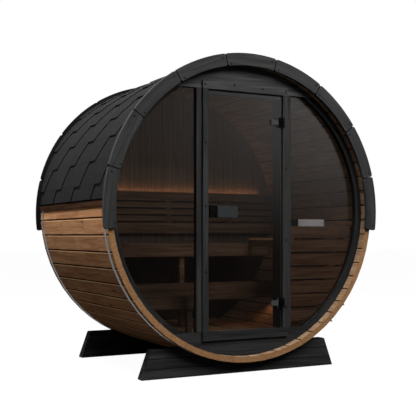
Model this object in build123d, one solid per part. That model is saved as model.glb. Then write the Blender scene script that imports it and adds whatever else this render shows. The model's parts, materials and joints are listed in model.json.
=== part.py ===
"""Barrel sauna: coopered staves on two cradles, a glazed front with a glass door, and a shingled roof.

The barrel lies along Y with its front towards -Y. Everything is drawn about the barrel's own axis,
and is lifted at the end so that the cradles stand on Z = 0.
"""

import os
from math import cos, degrees, hypot, radians, sin, sqrt, tan

from build123d import *

# Fits, in millimetres: rest_gap lies between pieces that seat on each other
rest_gap = 0.3
stave_gap = 0.4

# Barrel shell: flat-faced staves with bevelled edges, a tongue on one edge and a groove on the other,
# and crozes for the end walls. The radius is measured to the middle of a stave's face
barrel_radius = 1025.0
stave_thickness = 38.0
stave_length = 1416.0
stave_count = 58
tongue_land = 10.0
tongue_taper = 3.0
tongue_length = 5.0
groove_chamfer = 2.5
croze_depth = 8.0

# Steel hoops bent over the staves, each drawn tight by a bolt through two ears
hoop_width = 34.0
hoop_thickness = 1.5
hoop_setback = 61.0
hoop_ear_stave = 21
hoop_ear_spread = 150.0
hoop_ear_height = 38.0
hoop_ear_thickness = 6.0
hoop_bolt_diameter = 10.0

# Cradles: boards on edge with a hollow for the barrel
cradle_foot_share = 0.7356
cradle_top_share = 0.6654
cradle_height = 198.0
cradle_thickness = 65.0
cradle_setback = 96.0
saddle_height = 80.0
cradle_corner = 5.0

# Shingle courses on the upper half, from the ridge cap down to the eaves, by the angles that they take up
course_count = 8
ridge_cap_angle = 7.8
course_angle = 9.15
eave_course_angle = 5.4
eave_batten_angle = 2.5
course_butt = 9.5
course_head = 6.0
eave_batten_thickness = 5.0

# Arched fascia boards on both ends
fascia_board_count = 9
fascia_reach_angle = 97.2
fascia_rise = 33.0
fascia_lap = 14.0
fascia_thickness = 27.0
fascia_joint = 3.0
fascia_corner = 9.0

# Front wall: ring, chord panels and posts in one plane, with a rebate for the fixed panes
wall_setback = 60.0
wall_thickness = 40.0
ring_width = 46.0
window_height_share = 0.8237
post_inner_share = 0.2877
post_width = 88.0
post_depth = 100.0
jamb_width = 42.0
pane_setback = 22.0
pane_thickness = 8.0
rebate_depth = 10.0
ring_segments = 3

# Door frame, planted on the posts
frame_thickness = 21.0
stile_setback = 9.0
stile_width = 41.0
sill_height = 61.0
sill_lip = 3.0
header_height = 54.0
header_lap = 6.0

# Glass door and its furniture
door_glass_thickness = 8.0
door_stop_gap = 5.0
door_latch_gap = 5.0
door_hinge_gap = 9.0
door_head_gap = 12.0
door_stop_height = 30.0
door_sill_gap = 6.0
door_corner = 3.0
hinge_height_shares = (0.759, -0.782)
hinge_plate_width = 78.0
hinge_plate_height = 36.0
hinge_plate_thickness = 10.0
hinge_plate_inset = 9.0
hinge_body_width = 26.0
hinge_body_height = 68.0
hinge_body_thickness = 8.0
hinge_knuckle_radius = 6.0
hinge_pin_stand_off = 8.0
hinge_leaf_width = 12.0
hinge_leaf_thickness = 2.5
knuckle_gap = 0.15
latch_width = 56.0
latch_height = 80.0
latch_thickness = 16.0
latch_inset = 4.0
latch_bolt_height = 26.0
latch_bolt_thickness = 6.0
latch_drop = 9.0
handle_width = 152.0
handle_height = 78.0
handle_thickness = 14.0
handle_stand_off = 24.0
handle_lap = 11.0
handle_corner = 4.0
stud_width = 14.0
stud_inset = 22.0
inner_pull_width = 120.0
inner_pull_height = 40.0
inner_pull_stand_off = 30.0
inner_pull_thickness = 22.0

# Back wall of upright boards
back_board_pitch = 95.0

# Floor of boards laid from front to back on joists
floor_depth_share = 0.8683
floor_thickness = 26.0
floor_board_pitch = 98.0
floor_board_gap = 5.0
joist_width = 45.0
joist_height = 70.0
joist_count = 3

# Benches: heights are shares of the floor's depth below the axis, depths of the room's length,
# and places across are shares of the barrel's inner radius
bench_slat_thickness = 28.0
bench_slat_gap = 8.0
bench_apron_thickness = 28.0
bench_bearer_width = 45.0
bench_bearer_height = 55.0
bench_leg_width = 38.0
upper_bench_height_share = 0.735
upper_bench_depth_share = 0.399
upper_bench_apron = 99.5
upper_bench_right_share = 0.668
upper_bench_slats = 5
upper_bench_leg_share = -0.09
lower_bench_height_share = 0.385
lower_bench_depth_share = 0.226
lower_bench_apron = 112.0
lower_bench_right_share = 0.563
lower_bench_slats = 3
lower_bench_leg_share = -0.063
bench_riser_gap = 6.0
step_height_share = 0.315
step_depth_share = 0.193
step_apron = 86.0
step_right_share = -0.235
step_slats = 2
step_leg_share = -0.3
step_clearance = 30.0

# Backrest of slats on upright battens, with a light strip behind its top slat
backrest_lift = 78.0
backrest_top_slat = 71.0
backrest_slat = 41.0
backrest_slat_count = 3
backrest_bottom_slat = 85.0
backrest_gap = 13.5
backrest_slat_thickness = 22.0
backrest_batten_width = 45.0
backrest_batten_thickness = 28.0
backrest_batten_share = 0.567
backrest_side_gap = 12.0
light_strip_height = 12.0
light_strip_thickness = 10.0
light_strip_share = 0.861

# Electric heater behind a slatted guard
heater_left_share = 0.532
heater_right_share = 0.78
heater_depth_share = 0.2385
heater_top_share = 0.941
heater_foot_share = 0.372
heater_corner = 14.0
heater_bin_wall = 18.0
heater_bin_depth = 110.0
heater_bracket_width = 110.0
heater_bracket_thickness = 6.0
heater_bracket_drop_shares = (0.3, 0.75)
guard_setback_share = 0.0185
guard_left_share = 0.3786
guard_slat_thickness = 20.0
guard_slat_gap = 13.0
guard_slat_count = 7
guard_top_share = 0.8813
guard_foot_share = 0.0981
guard_post_width = 40.0
guard_post_right_share = 0.902
guard_to_heater = 25.0
guard_rail_left_share = 0.4877
guard_rail_width = 26.0
guard_rail_height = 67.0
guard_rail_top_share = 0.782

# Places worked out from the sizes above, about the barrel's axis
inner_radius = barrel_radius - stave_thickness
seat_radius = inner_radius + croze_depth - rest_gap
stave_pitch = 360.0 / stave_count
stave_half_angle = radians(stave_pitch / 2)
stave_half_face = barrel_radius * tan(stave_half_angle) - stave_gap / 2 - groove_chamfer
barrel_reach = hypot(barrel_radius, stave_half_face)
hoop_corner = (barrel_radius + rest_gap) / cos(stave_half_angle)
hoop_outer_corner = (barrel_radius + rest_gap + hoop_thickness) / cos(stave_half_angle)
axis_height = saddle_height + rest_gap + barrel_reach
front_end = -stave_length / 2
rear_end = stave_length / 2
roof_radius = hoop_outer_corner + rest_gap
fascia_inner_radius = inner_radius - fascia_lap
fascia_outer_radius = barrel_radius + fascia_rise

# Front wall and door
wall_front = front_end + wall_setback
wall_back = wall_front + wall_thickness
ring_inner_radius = inner_radius - ring_width
window_half_height = window_height_share * inner_radius
post_inner = post_inner_share * inner_radius
post_outer = post_inner + post_width
frame_front = wall_front - frame_thickness
stile_inner = post_inner + stile_setback
stile_outer = stile_inner + stile_width
sill_top = sill_lip - window_half_height
header_bottom = window_half_height - header_lap
door_back = wall_front - door_stop_gap
door_front = door_back - door_glass_thickness
door_left = door_latch_gap - stile_inner
door_right = stile_inner - door_hinge_gap
door_bottom = sill_top + door_sill_gap
door_top = header_bottom - door_head_gap
hinge_pin_x = stile_inner - door_hinge_gap / 2
hinge_pin_y = frame_front - hinge_pin_stand_off
hinge_heights = [share * window_half_height for share in hinge_height_shares]

# Room between the end walls
back_wall_outside = rear_end - wall_setback
back_wall_inside = back_wall_outside - wall_thickness
room_length = back_wall_inside - wall_back
floor_depth = floor_depth_share * inner_radius
floor_top = -floor_depth
upper_bench_top = floor_top + upper_bench_height_share * floor_depth
upper_bench_depth = upper_bench_depth_share * room_length
upper_bench_front = back_wall_inside - upper_bench_depth
lower_bench_top = floor_top + lower_bench_height_share * floor_depth
lower_bench_depth = lower_bench_depth_share * room_length
lower_bench_front = upper_bench_front - bench_riser_gap - lower_bench_depth
step_top = floor_top + step_height_share * floor_depth
step_depth = step_depth_share * room_length
step_front = lower_bench_front - step_clearance - step_depth
guard_front = wall_back + guard_setback_share * room_length
guard_back = guard_front + guard_slat_thickness
guard_left = guard_left_share * inner_radius
guard_top = floor_top + guard_top_share * floor_depth
guard_foot = floor_top + guard_foot_share * floor_depth
backrest_front = back_wall_inside - rest_gap - backrest_batten_thickness - backrest_slat_thickness


def half_chord(radius, offset):
    """Half the width of a circle at a distance from its centre."""
    return sqrt(radius**2 - offset**2)


def polar(radius, angle):
    """Point on a circle about the axis, with the angle in degrees from straight up towards +X."""
    return (radius * sin(radians(angle)), radius * cos(radians(angle)))


def along(outline, start, end):
    """Outline seen from the front, drawn out along the barrel from one place to another."""
    return Pos(0, end, 0) * extrude(Plane.XZ * outline, amount=end - start)


def bar(x, y, z):
    """Plain bar between pairs of places on the three axes."""
    low = (Align.MIN, Align.MIN, Align.MIN)
    return Pos(x[0], y[0], z[0]) * Box(x[1] - x[0], y[1] - y[0], z[1] - z[0], align=low)


def window_outline(side, grow):
    """Fixed pane's opening on one side of the door, with its edges moved outwards by grow."""
    inner_edge = post_outer - grow
    outer_edge = ring_inner_radius + grow
    width = outer_edge - inner_edge
    height = 2 * (window_half_height + grow)
    field = Pos(side * (inner_edge + outer_edge) / 2, 0) * Rectangle(width, height)
    return field & Circle(outer_edge)


def arc_board(inner, outer, start_angle, end_angle, corner):
    """Outline of a board sawn to a ring, with its corners taken off."""
    middle = (start_angle + end_angle) / 2
    edges = [
        ThreePointArc(polar(outer, start_angle), polar(outer, middle), polar(outer, end_angle)),
        Line(polar(outer, end_angle), polar(inner, end_angle)),
        ThreePointArc(polar(inner, end_angle), polar(inner, middle), polar(inner, start_angle)),
        Line(polar(inner, start_angle), polar(outer, start_angle)),
    ]
    outline = make_face(edges)
    return chamfer(outline.vertices(), corner) if corner else outline


def joint_angle(joint, radius):
    """Angle that half of a joint takes up on a circle."""
    return degrees(joint / 2 / radius)


# Barrel shell


def stave_edge(side, height, push):
    """Point on a stave's edge: side is -1 or 1, height is square to the face, push goes round the barrel."""
    angle = side * stave_half_angle
    shift = push - side * stave_gap / 2
    return (height * tan(angle) + shift * cos(angle), height - shift * sin(angle))


def stave_outline():
    """Stave seen from its end, at the top of the barrel: a tongue on its right and a groove on its left."""
    outer, inner = barrel_radius, inner_radius
    inner_half_face = inner * tan(stave_half_angle) - stave_gap / 2 - groove_chamfer
    steps = [
        (outer - groove_chamfer, 0),
        (outer - tongue_land, 0),
        (outer - tongue_land - tongue_taper, tongue_length),
        (inner + tongue_land + tongue_taper, tongue_length),
        (inner + tongue_land, 0),
        (inner + groove_chamfer, 0),
    ]
    right = [stave_edge(1, height, push) for height, push in steps]
    left = [stave_edge(-1, height, push) for height, push in reversed(steps)]
    outer_face = [(-stave_half_face, outer), (stave_half_face, outer)]
    inner_face = [(inner_half_face, inner), (-inner_half_face, inner)]
    return make_face(Polyline(*outer_face, *right, *inner_face, *left, close=True))


def make_staves():
    """Eight groups of staves round the barrel, each stave with a croze near both ends."""
    stave = along(stave_outline(), front_end, rear_end)
    croze_floor = inner_radius + croze_depth
    croze = Pos(0, croze_floor / 2) * Rectangle(barrel_radius, croze_floor)
    stave -= along(croze, wall_front - rest_gap, wall_back + rest_gap)
    stave -= along(croze, back_wall_inside - rest_gap, back_wall_outside + rest_gap)
    names = ("top", "upper_right", "right", "lower_right", "bottom", "lower_left", "left", "upper_left")
    groups = {name: [] for name in names}
    sector = 360.0 / len(names)
    for index in range(stave_count):
        angle = (index + 0.5) * stave_pitch
        name = names[round(angle / sector) % len(names)]
        groups[name].append(Rot(0, angle, 0) * stave)
    return {"staves_" + name: staves for name, staves in groups.items()}


def stave_ring(corner):
    """Ring outline with a corner over every joint between staves."""
    return make_face(Polyline(*[polar(corner, k * stave_pitch) for k in range(stave_count)], close=True))


def make_hoop(middle):
    """Steel hoop with a gap, two ears and the bolt that draws them together."""
    start, end = middle - hoop_width / 2, middle + hoop_width / 2
    ear_x = hoop_ear_spread / 2
    foot = half_chord(hoop_corner + hoop_thickness / 2, ear_x + hoop_ear_thickness)
    top = foot + hoop_ear_height
    turn = Rot(0, (hoop_ear_stave + 0.5) * stave_pitch, 0)
    gap = Pos(0, top) * Rectangle(hoop_ear_spread, 2 * (top - inner_radius))
    band = along(stave_ring(hoop_outer_corner) - stave_ring(hoop_corner), start, end) - turn * along(gap, start, end)
    for side in (-1, 1):
        ear = Pos(side * (ear_x + hoop_ear_thickness / 2), (foot + top) / 2)
        band += turn * along(ear * Rectangle(hoop_ear_thickness, top - foot), start, end)
    bolt_length = hoop_ear_spread + 2 * hoop_ear_thickness + 2 * hoop_bolt_diameter
    bolt = extrude(RegularPolygon(hoop_bolt_diameter / 2, 6), amount=bolt_length / 2, both=True)
    band += turn * (Pos(0, middle, top - hoop_bolt_diameter) * Rot(0, 90, 0) * bolt)
    return [band]


def make_cradle(middle):
    """Cradle board: sloping ends, and a hollow top that the staves lie in."""
    foot, top = -axis_height, cradle_height - axis_height
    foot_reach, top_reach = cradle_foot_share * barrel_radius, cradle_top_share * barrel_radius
    corners = [
        (-foot_reach, foot),
        (foot_reach, foot),
        (top_reach, top),
        (-top_reach, top),
    ]
    outline = chamfer(make_face(Polyline(*corners, close=True)).vertices(), cradle_corner)
    hollow = Circle(barrel_reach + rest_gap)
    return [along(outline - hollow, middle - cradle_thickness / 2, middle + cradle_thickness / 2)]


# Roof


def course_outline(eave_angle, head_angle, butt, head):
    """Shingle course seen from its end: thick at the butt, thinner under the next course."""
    foot_outer, head_outer = roof_radius + butt, roof_radius + head
    middle_angle = (eave_angle + head_angle) / 2
    middle_outer = (foot_outer + head_outer) / 2
    edges = [
        Line(polar(roof_radius, eave_angle), polar(foot_outer, eave_angle)),
        ThreePointArc(
            polar(foot_outer, eave_angle),
            polar(middle_outer, middle_angle),
            polar(head_outer, head_angle),
        ),
        Line(polar(head_outer, head_angle), polar(roof_radius, head_angle)),
        ThreePointArc(
            polar(roof_radius, head_angle),
            polar(roof_radius, middle_angle),
            polar(roof_radius, eave_angle),
        ),
    ]
    return make_face(edges)


def course_angles():
    """Angles of the course edges on one side, from the ridge cap down to the eave."""
    edges = [ridge_cap_angle + index * course_angle for index in range(course_count + 1)]
    return edges + [edges[-1] + eave_course_angle]


def make_roof():
    """Courses on both slopes, the ridge cap over them, and a batten under each eave."""
    edges = course_angles()
    trim = joint_angle(rest_gap, roof_radius)
    nodes = {"roof_courses_left": [], "roof_courses_right": [], "eave_battens": []}
    for side, name in ((-1, "roof_courses_left"), (1, "roof_courses_right")):
        for head, eave in zip(edges, edges[1:]):
            outline = course_outline(side * (eave - trim), side * (head + trim), course_butt, course_head)
            nodes[name].append(along(outline, front_end, rear_end))
        batten_start = edges[-1] + trim
        batten_end = batten_start + eave_batten_angle
        batten_outer = roof_radius + eave_batten_thickness
        batten = arc_board(roof_radius, batten_outer, side * batten_start, side * batten_end, 0)
        nodes["eave_battens"].append(along(batten, front_end, rear_end))
    cap_angle = edges[0] - trim
    cap = arc_board(roof_radius, roof_radius + course_butt, -cap_angle, cap_angle, 0)
    nodes["ridge_cap"] = [along(cap, front_end, rear_end)]
    return nodes


def make_fascia(start):
    """Arched boards that close the end of the roof and cover the ends of the staves."""
    board_angle = 2 * fascia_reach_angle / fascia_board_count
    trim = joint_angle(fascia_joint, fascia_outer_radius)
    boards = []
    for index in range(fascia_board_count):
        low = index * board_angle - fascia_reach_angle + trim
        high = (index + 1) * board_angle - fascia_reach_angle - trim
        outline = arc_board(fascia_inner_radius, fascia_outer_radius, low, high, fascia_corner)
        boards.append(along(outline, start, start + fascia_thickness))
    return boards


# Front wall


def pane_rebates():
    """Room for both panes and their beads, cut from behind."""
    start, end = wall_front + pane_setback, wall_front + post_depth
    return along(window_outline(-1, rebate_depth) + window_outline(1, rebate_depth), start, end)


def make_front_wall():
    """Ring segments, chord panels, posts, panes and the beads that hold them."""
    rebates = pane_rebates()
    nodes = {}
    band = Rectangle(2 * seat_radius, 2 * (window_half_height - rest_gap))
    trim = joint_angle(stave_gap, ring_inner_radius)
    for side, name in ((-1, "front_ring_left"), (1, "front_ring_right")):
        step = 180.0 / ring_segments
        segments = []
        for index in range(ring_segments):
            low, high = side * (index * step + trim), side * ((index + 1) * step - trim)
            sector = arc_board(ring_inner_radius, seat_radius, low, high, 0) & band
            segments.append(along(sector, wall_front, wall_back) - rebates)
        nodes[name] = segments
    for side, name in ((1, "front_top_panel"), (-1, "front_bottom_panel")):
        rise = seat_radius - window_half_height
        field = Pos(0, side * (window_half_height + rise / 2)) * Rectangle(2 * seat_radius, rise)
        field = field & Circle(seat_radius)
        if side > 0:
            drop = door_stop_height + header_lap
            stop_middle = window_half_height + rest_gap - drop / 2
            field += Pos(0, stop_middle) * Rectangle(2 * (post_inner - rest_gap), drop)
        panel = along(field, wall_front, wall_back)
        nodes[name] = [panel - rebates]
    height = 2 * (window_half_height - rest_gap)
    for side, name in ((-1, "door_post_left"), (1, "door_post_right")):
        stud = Pos(side * (post_inner + post_outer) / 2, 0) * Rectangle(post_outer - post_inner, height)
        jamb = Pos(side * (post_inner + jamb_width / 2), 0) * Rectangle(jamb_width, height)
        post = along(stud, wall_front, wall_back) - rebates
        nodes[name] = [post + along(jamb, wall_back, wall_front + post_depth)]
    pane_start = wall_front + pane_setback + rest_gap
    pane_end = pane_start + pane_thickness
    nodes["glazing_beads"] = []
    for side, name in ((-1, "window_left"), (1, "window_right")):
        edge = window_outline(side, rebate_depth - rest_gap)
        nodes[name] = [along(edge, pane_start, pane_end)]
        bead = edge - window_outline(side, 0)
        nodes["glazing_beads"].append(along(bead, pane_end + rest_gap, wall_back))
    return nodes


def make_door_frame():
    """Header, two stiles and a sill, planted on the front of the posts."""
    width = 2 * stile_outer
    header = Pos(0, header_bottom + header_height / 2) * Rectangle(width, header_height)
    stile_height = header_bottom - sill_top - 2 * rest_gap
    stile_middle = (header_bottom + sill_top) / 2
    stiles = []
    for side in (-1, 1):
        x = side * (stile_inner + stile_width / 2)
        stile = Pos(x, stile_middle) * Rectangle(stile_width, stile_height)
        stiles.append(along(stile, frame_front, wall_front))
    sill = Pos(0, sill_top - sill_height / 2) * Rectangle(width, sill_height)
    return {
        "door_header": [along(header, frame_front, wall_front)],
        "door_stiles": stiles,
        "door_sill": [along(sill, frame_front, wall_front)],
    }


# Door


def make_hinges():
    """Plates clamped on the glass, and leaves on the stile, knuckle to knuckle on one pin line."""
    clamps, leaves = [], []
    plate_right = door_right - hinge_plate_inset
    plate_left = plate_right - hinge_plate_width
    half_plate, half_body = hinge_plate_height / 2, hinge_body_height / 2
    plate_y = (door_front - hinge_plate_thickness, door_front)
    body_y = (door_front - hinge_body_thickness, door_front)
    body_x = (plate_right - hinge_body_width, plate_right)
    leaf_start = hinge_pin_x + hinge_knuckle_radius + knuckle_gap
    leaf_y = (frame_front - hinge_leaf_thickness, frame_front)
    for height in hinge_heights:
        plate = bar((plate_left, plate_right), plate_y, (height - half_plate, height + half_plate))
        arm_y = (hinge_pin_y, hinge_pin_y + hinge_knuckle_radius)
        arm_z = (height - half_plate + knuckle_gap, height + half_plate - knuckle_gap)
        plate += bar((plate_right - hinge_plate_inset, hinge_pin_x), arm_y, arm_z)
        knuckle_length = hinge_plate_height - 2 * knuckle_gap
        plate += Pos(hinge_pin_x, hinge_pin_y, height) * Cylinder(hinge_knuckle_radius, knuckle_length)
        clamps.append(plate)
        clamps.append(bar(body_x, body_y, (height + half_plate + rest_gap, height + half_body)))
        clamps.append(bar(body_x, body_y, (height - half_body, height - half_plate - rest_gap)))
        leaf_z = (height - half_body, height + half_body)
        leaf = bar((leaf_start, leaf_start + hinge_leaf_width), leaf_y, leaf_z)
        for low, high in ((half_plate + knuckle_gap, half_body), (-half_body, -half_plate - knuckle_gap)):
            strap_y = (hinge_pin_y + hinge_knuckle_radius - hinge_leaf_thickness, frame_front)
            strap_x = (hinge_pin_x, leaf_start + hinge_leaf_thickness)
            leaf += bar(strap_x, strap_y, (height + low, height + high))
            knuckle = Cylinder(hinge_knuckle_radius, high - low)
            leaf += Pos(hinge_pin_x, hinge_pin_y, height + (low + high) / 2) * knuckle
        leaves.append(leaf)
    return clamps, leaves


def make_handle():
    """Flat pull on two studs outside, the latch beside it, and a smaller pull inside."""
    latch_left = door_left + latch_inset
    latch_right = latch_left + latch_width
    latch_z = (-latch_drop - latch_height / 2, -latch_drop + latch_height / 2)
    latch = bar((latch_left, latch_right), (door_front - latch_thickness, door_front), latch_z)
    bolt_z = (-latch_drop - latch_bolt_height / 2, -latch_drop + latch_bolt_height / 2)
    bolt_y = (door_front - latch_thickness - latch_bolt_thickness, door_front - latch_thickness)
    latch += bar((latch_left, latch_right), bolt_y, bolt_z)
    pull_middle = latch_right - handle_lap + handle_width / 2
    pull_outline = Pos(pull_middle, -latch_drop) * Rectangle(handle_width, handle_height)
    pull_outline = chamfer(pull_outline.vertices(), handle_corner)
    pull_start = door_front - handle_stand_off - handle_thickness
    pull = along(pull_outline, pull_start, pull_start + handle_thickness)
    for side in (-1, 1):
        stud_x = pull_middle + side * (handle_width / 2 - stud_inset)
        stud = Pos(stud_x, -latch_drop) * Rectangle(stud_width, stud_width)
        pull += along(stud, pull_start + handle_thickness, door_front)
    inner_end = door_back + inner_pull_stand_off + inner_pull_thickness
    inner_field = Pos(pull_middle, -latch_drop) * Rectangle(inner_pull_width, inner_pull_height)
    inner_pull = along(inner_field, inner_end - inner_pull_thickness, inner_end)
    for side in (-1, 1):
        stud_x = pull_middle + side * (inner_pull_width / 2 - stud_inset)
        stud = Pos(stud_x, -latch_drop) * Rectangle(stud_width, stud_width)
        inner_pull += along(stud, door_back, inner_end - inner_pull_thickness)
    return [pull, inner_pull], [latch]


def make_door():
    """Frameless glass leaf with its furniture."""
    width, height = door_right - door_left, door_top - door_bottom
    field = Pos((door_left + door_right) / 2, (door_top + door_bottom) / 2) * Rectangle(width, height)
    leaf = along(chamfer(field.vertices(), door_corner), door_front, door_back)
    clamps, leaves = make_hinges()
    handles, latch = make_handle()
    return {
        "door_glass": [leaf],
        "door_handle": handles,
        "door_latch": latch,
        "door_hinge_plates": clamps,
        "hinge_leaves": leaves,
    }


# Inside


def make_back_wall():
    """Upright boards in the rear croze, sawn to its ring."""
    board = Rectangle(back_board_pitch - stave_gap, 2 * seat_radius)
    reach = int(seat_radius / back_board_pitch + 0.5)
    boards = []
    for index in range(-reach, reach + 1):
        outline = (Pos(index * back_board_pitch, 0) * board) & Circle(seat_radius)
        boards.append(along(outline, back_wall_inside, back_wall_outside))
    return boards


def make_floor():
    """Boards between the end walls, on joists that reach down to the staves."""
    underside = floor_top - floor_thickness
    half_width = half_chord(inner_radius, underside) - rest_gap
    count = int((2 * half_width + floor_board_gap) / floor_board_pitch)
    pitch = (2 * half_width + floor_board_gap) / count
    y = (wall_back + rest_gap, back_wall_inside - rest_gap)
    boards = []
    for index in range(count):
        left = index * pitch - half_width
        boards.append(bar((left, left + pitch - floor_board_gap), y, (underside, floor_top)))
    joists = []
    joist_foot = underside - joist_height
    reach = half_chord(inner_radius, joist_foot) - rest_gap
    spacing = (y[1] - y[0]) / joist_count
    for index in range(joist_count):
        middle = y[0] + (index + 0.5) * spacing
        joist_y = (middle - joist_width / 2, middle + joist_width / 2)
        joists.append(bar((-reach, reach), joist_y, (joist_foot, underside)))
    return {"floor_boards": boards, "floor_joists": joists}


def make_bench(front, depth, top, apron_height, right, slat_count, leg_x):
    """Slats along the barrel's width behind an apron, on bearers, with one leg under the front."""
    slat_foot = top - bench_slat_thickness
    slat_left = rest_gap - half_chord(inner_radius, slat_foot)
    apron_foot = top - apron_height
    apron_left = rest_gap - half_chord(inner_radius, apron_foot)
    pieces = [bar((apron_left, right), (front, front + bench_apron_thickness), (apron_foot, top))]
    slats_start = front + bench_apron_thickness + rest_gap
    pitch = (depth - bench_apron_thickness - rest_gap + bench_slat_gap) / slat_count
    for index in range(slat_count):
        start = slats_start + index * pitch
        slat_y = (start, start + pitch - bench_slat_gap - rest_gap)
        pieces.append(bar((slat_left, right), slat_y, (slat_foot, top)))
    bearer_foot = slat_foot - bench_bearer_height
    bearer_z = (bearer_foot, slat_foot - rest_gap)
    bearer_y = (slats_start, front + depth - rest_gap)
    left_bearer = rest_gap - half_chord(inner_radius, bearer_foot)
    for start in (left_bearer, leg_x - bench_bearer_width / 2, right - bench_bearer_width):
        pieces.append(bar((start, start + bench_bearer_width), bearer_y, bearer_z))
    leg = (leg_x - bench_leg_width / 2, leg_x + bench_leg_width / 2)
    leg_y = (slats_start, slats_start + bench_leg_width)
    pieces.append(bar(leg, leg_y, (floor_top + rest_gap, bearer_foot - rest_gap)))
    return pieces


def make_benches():
    """Seat along the back wall, a lower bench before it, and a step at the left."""
    upper = (upper_bench_front, upper_bench_depth, upper_bench_top, upper_bench_apron)
    upper_ends = (upper_bench_right_share * inner_radius, upper_bench_slats)
    lower = (lower_bench_front, lower_bench_depth, lower_bench_top, lower_bench_apron)
    lower_ends = (lower_bench_right_share * inner_radius, lower_bench_slats)
    step = (step_front, step_depth, step_top, step_apron)
    step_ends = (step_right_share * inner_radius, step_slats)
    return {
        "upper_bench": make_bench(*upper, *upper_ends, upper_bench_leg_share * inner_radius),
        "lower_bench": make_bench(*lower, *lower_ends, lower_bench_leg_share * inner_radius),
        "step_bench": make_bench(*step, *step_ends, step_leg_share * inner_radius),
    }


def make_backrest():
    """Slats across the back wall on upright battens, and the light strip behind the top slat."""
    slat_y = (backrest_front, backrest_front + backrest_slat_thickness)
    batten_y = (slat_y[1] + rest_gap, slat_y[1] + backrest_batten_thickness)
    heights = [backrest_top_slat] + [backrest_slat] * backrest_slat_count + [backrest_bottom_slat]
    top = upper_bench_top + backrest_lift + sum(heights) + backrest_gap * (len(heights) - 1)
    pieces = []
    edge = top
    for height in heights:
        widest = max(abs(edge), abs(edge - height))
        reach = half_chord(inner_radius, widest) - backrest_side_gap
        pieces.append(bar((-reach, reach), slat_y, (edge - height, edge)))
        edge -= height + backrest_gap
    strip_top = top - rest_gap
    for index in (-1, 0, 1):
        x = index * backrest_batten_share * inner_radius
        batten_x = (x - backrest_batten_width / 2, x + backrest_batten_width / 2)
        batten_z = (edge + backrest_gap, strip_top - light_strip_height - rest_gap)
        pieces.append(bar(batten_x, batten_y, batten_z))
    strip_y = (batten_y[1] - light_strip_thickness, batten_y[1])
    strip_z = (strip_top - light_strip_height, strip_top)
    strip_reach = light_strip_share * inner_radius
    strip = bar((-strip_reach, strip_reach), strip_y, strip_z)
    return {"backrest": pieces, "light_strip": [strip]}


def make_heater():
    """Steel heater with an open stone bin, on two brackets from the right-hand staves."""
    top = floor_top + heater_top_share * floor_depth
    heater_height = (heater_top_share - heater_foot_share) * floor_depth
    front = guard_back + guard_post_width + guard_to_heater
    x = (heater_left_share * inner_radius, heater_right_share * inner_radius)
    y = (front, front + heater_depth_share * room_length)
    body = bar(x, y, (top - heater_height, top))
    body = fillet(body.edges().filter_by(Axis.Z), heater_corner)
    wall = heater_bin_wall
    body -= bar((x[0] + wall, x[1] - wall), (y[0] + wall, y[1] - wall), (top - heater_bin_depth, top))
    pieces = [body]
    middle = (y[0] + y[1]) / 2
    bracket_y = (middle - heater_bracket_width / 2, middle + heater_bracket_width / 2)
    for share in heater_bracket_drop_shares:
        z = top - share * heater_height
        bracket_z = (z - heater_bracket_thickness, z)
        widest = max(abs(bracket_z[0]), abs(bracket_z[1]))
        reach = half_chord(inner_radius, widest) - rest_gap
        pieces.append(bar((x[1] + rest_gap, reach), bracket_y, bracket_z))
    return pieces


def make_guard():
    """Slats cut to the barrel across the right-hand bay, on two posts, and a rail to the upper bench."""
    slat_y = (guard_front, guard_back)
    pitch = (guard_top - guard_foot + guard_slat_gap) / guard_slat_count
    pieces = []
    for index in range(guard_slat_count):
        edge = guard_top - index * pitch
        foot = edge - pitch + guard_slat_gap
        middle = Pos((guard_left + inner_radius) / 2, (edge + foot) / 2)
        slat = middle * Rectangle(inner_radius - guard_left, edge - foot)
        pieces.append(along(slat & Circle(inner_radius - rest_gap), *slat_y))
    post_y = (guard_back + rest_gap, guard_back + guard_post_width)
    for right in (guard_left + guard_post_width, guard_post_right_share * inner_radius):
        foot = max(floor_top, -half_chord(inner_radius, right)) + rest_gap
        pieces.append(bar((right - guard_post_width, right), post_y, (foot, guard_top)))
    rail_left = guard_rail_left_share * inner_radius
    rail_top = floor_top + guard_rail_top_share * floor_depth
    rail_y = (guard_back + rest_gap, upper_bench_front - rest_gap)
    rail_z = (rail_top - guard_rail_height, rail_top)
    pieces.append(bar((rail_left, rail_left + guard_rail_width), rail_y, rail_z))
    return pieces


def make_nodes():
    """All pieces of the sauna by name, about the barrel's axis."""
    hoop_place = stave_length / 2 - hoop_setback
    cradle_place = stave_length / 2 - cradle_setback - cradle_thickness / 2
    nodes = {
        "cradle_front": make_cradle(-cradle_place),
        "cradle_rear": make_cradle(cradle_place),
        "hoop_front": make_hoop(-hoop_place),
        "hoop_rear": make_hoop(hoop_place),
        "fascia_front": make_fascia(front_end - fascia_thickness),
        "fascia_rear": make_fascia(rear_end),
        "back_wall": make_back_wall(),
        "heater": make_heater(),
        "heater_guard": make_guard(),
    }
    groups = (make_staves, make_roof, make_front_wall, make_door_frame, make_door)
    for group in groups + (make_floor, make_benches, make_backrest):
        nodes.update(group())
    return nodes


def main():
    """Lift every node onto the ground and write it as one file."""
    os.makedirs("parts", exist_ok=True)
    lift = Pos(0, 0, axis_height)
    for name, pieces in make_nodes().items():
        solids = [lift * solid for piece in pieces for solid in piece.solids()]
        export_step(Compound(children=solids) if len(solids) > 1 else solids[0], f"parts/{name}.step")


main()
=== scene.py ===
"""Barrel sauna: shingles, screws, stones, materials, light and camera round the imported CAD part."""

import json
import math
from collections import namedtuple
from random import Random

import bmesh
import bpy
from bpy.props import FloatProperty, FloatVectorProperty, IntProperty, PointerProperty
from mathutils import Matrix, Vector
from mathutils.noise import hetero_terrain


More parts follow.
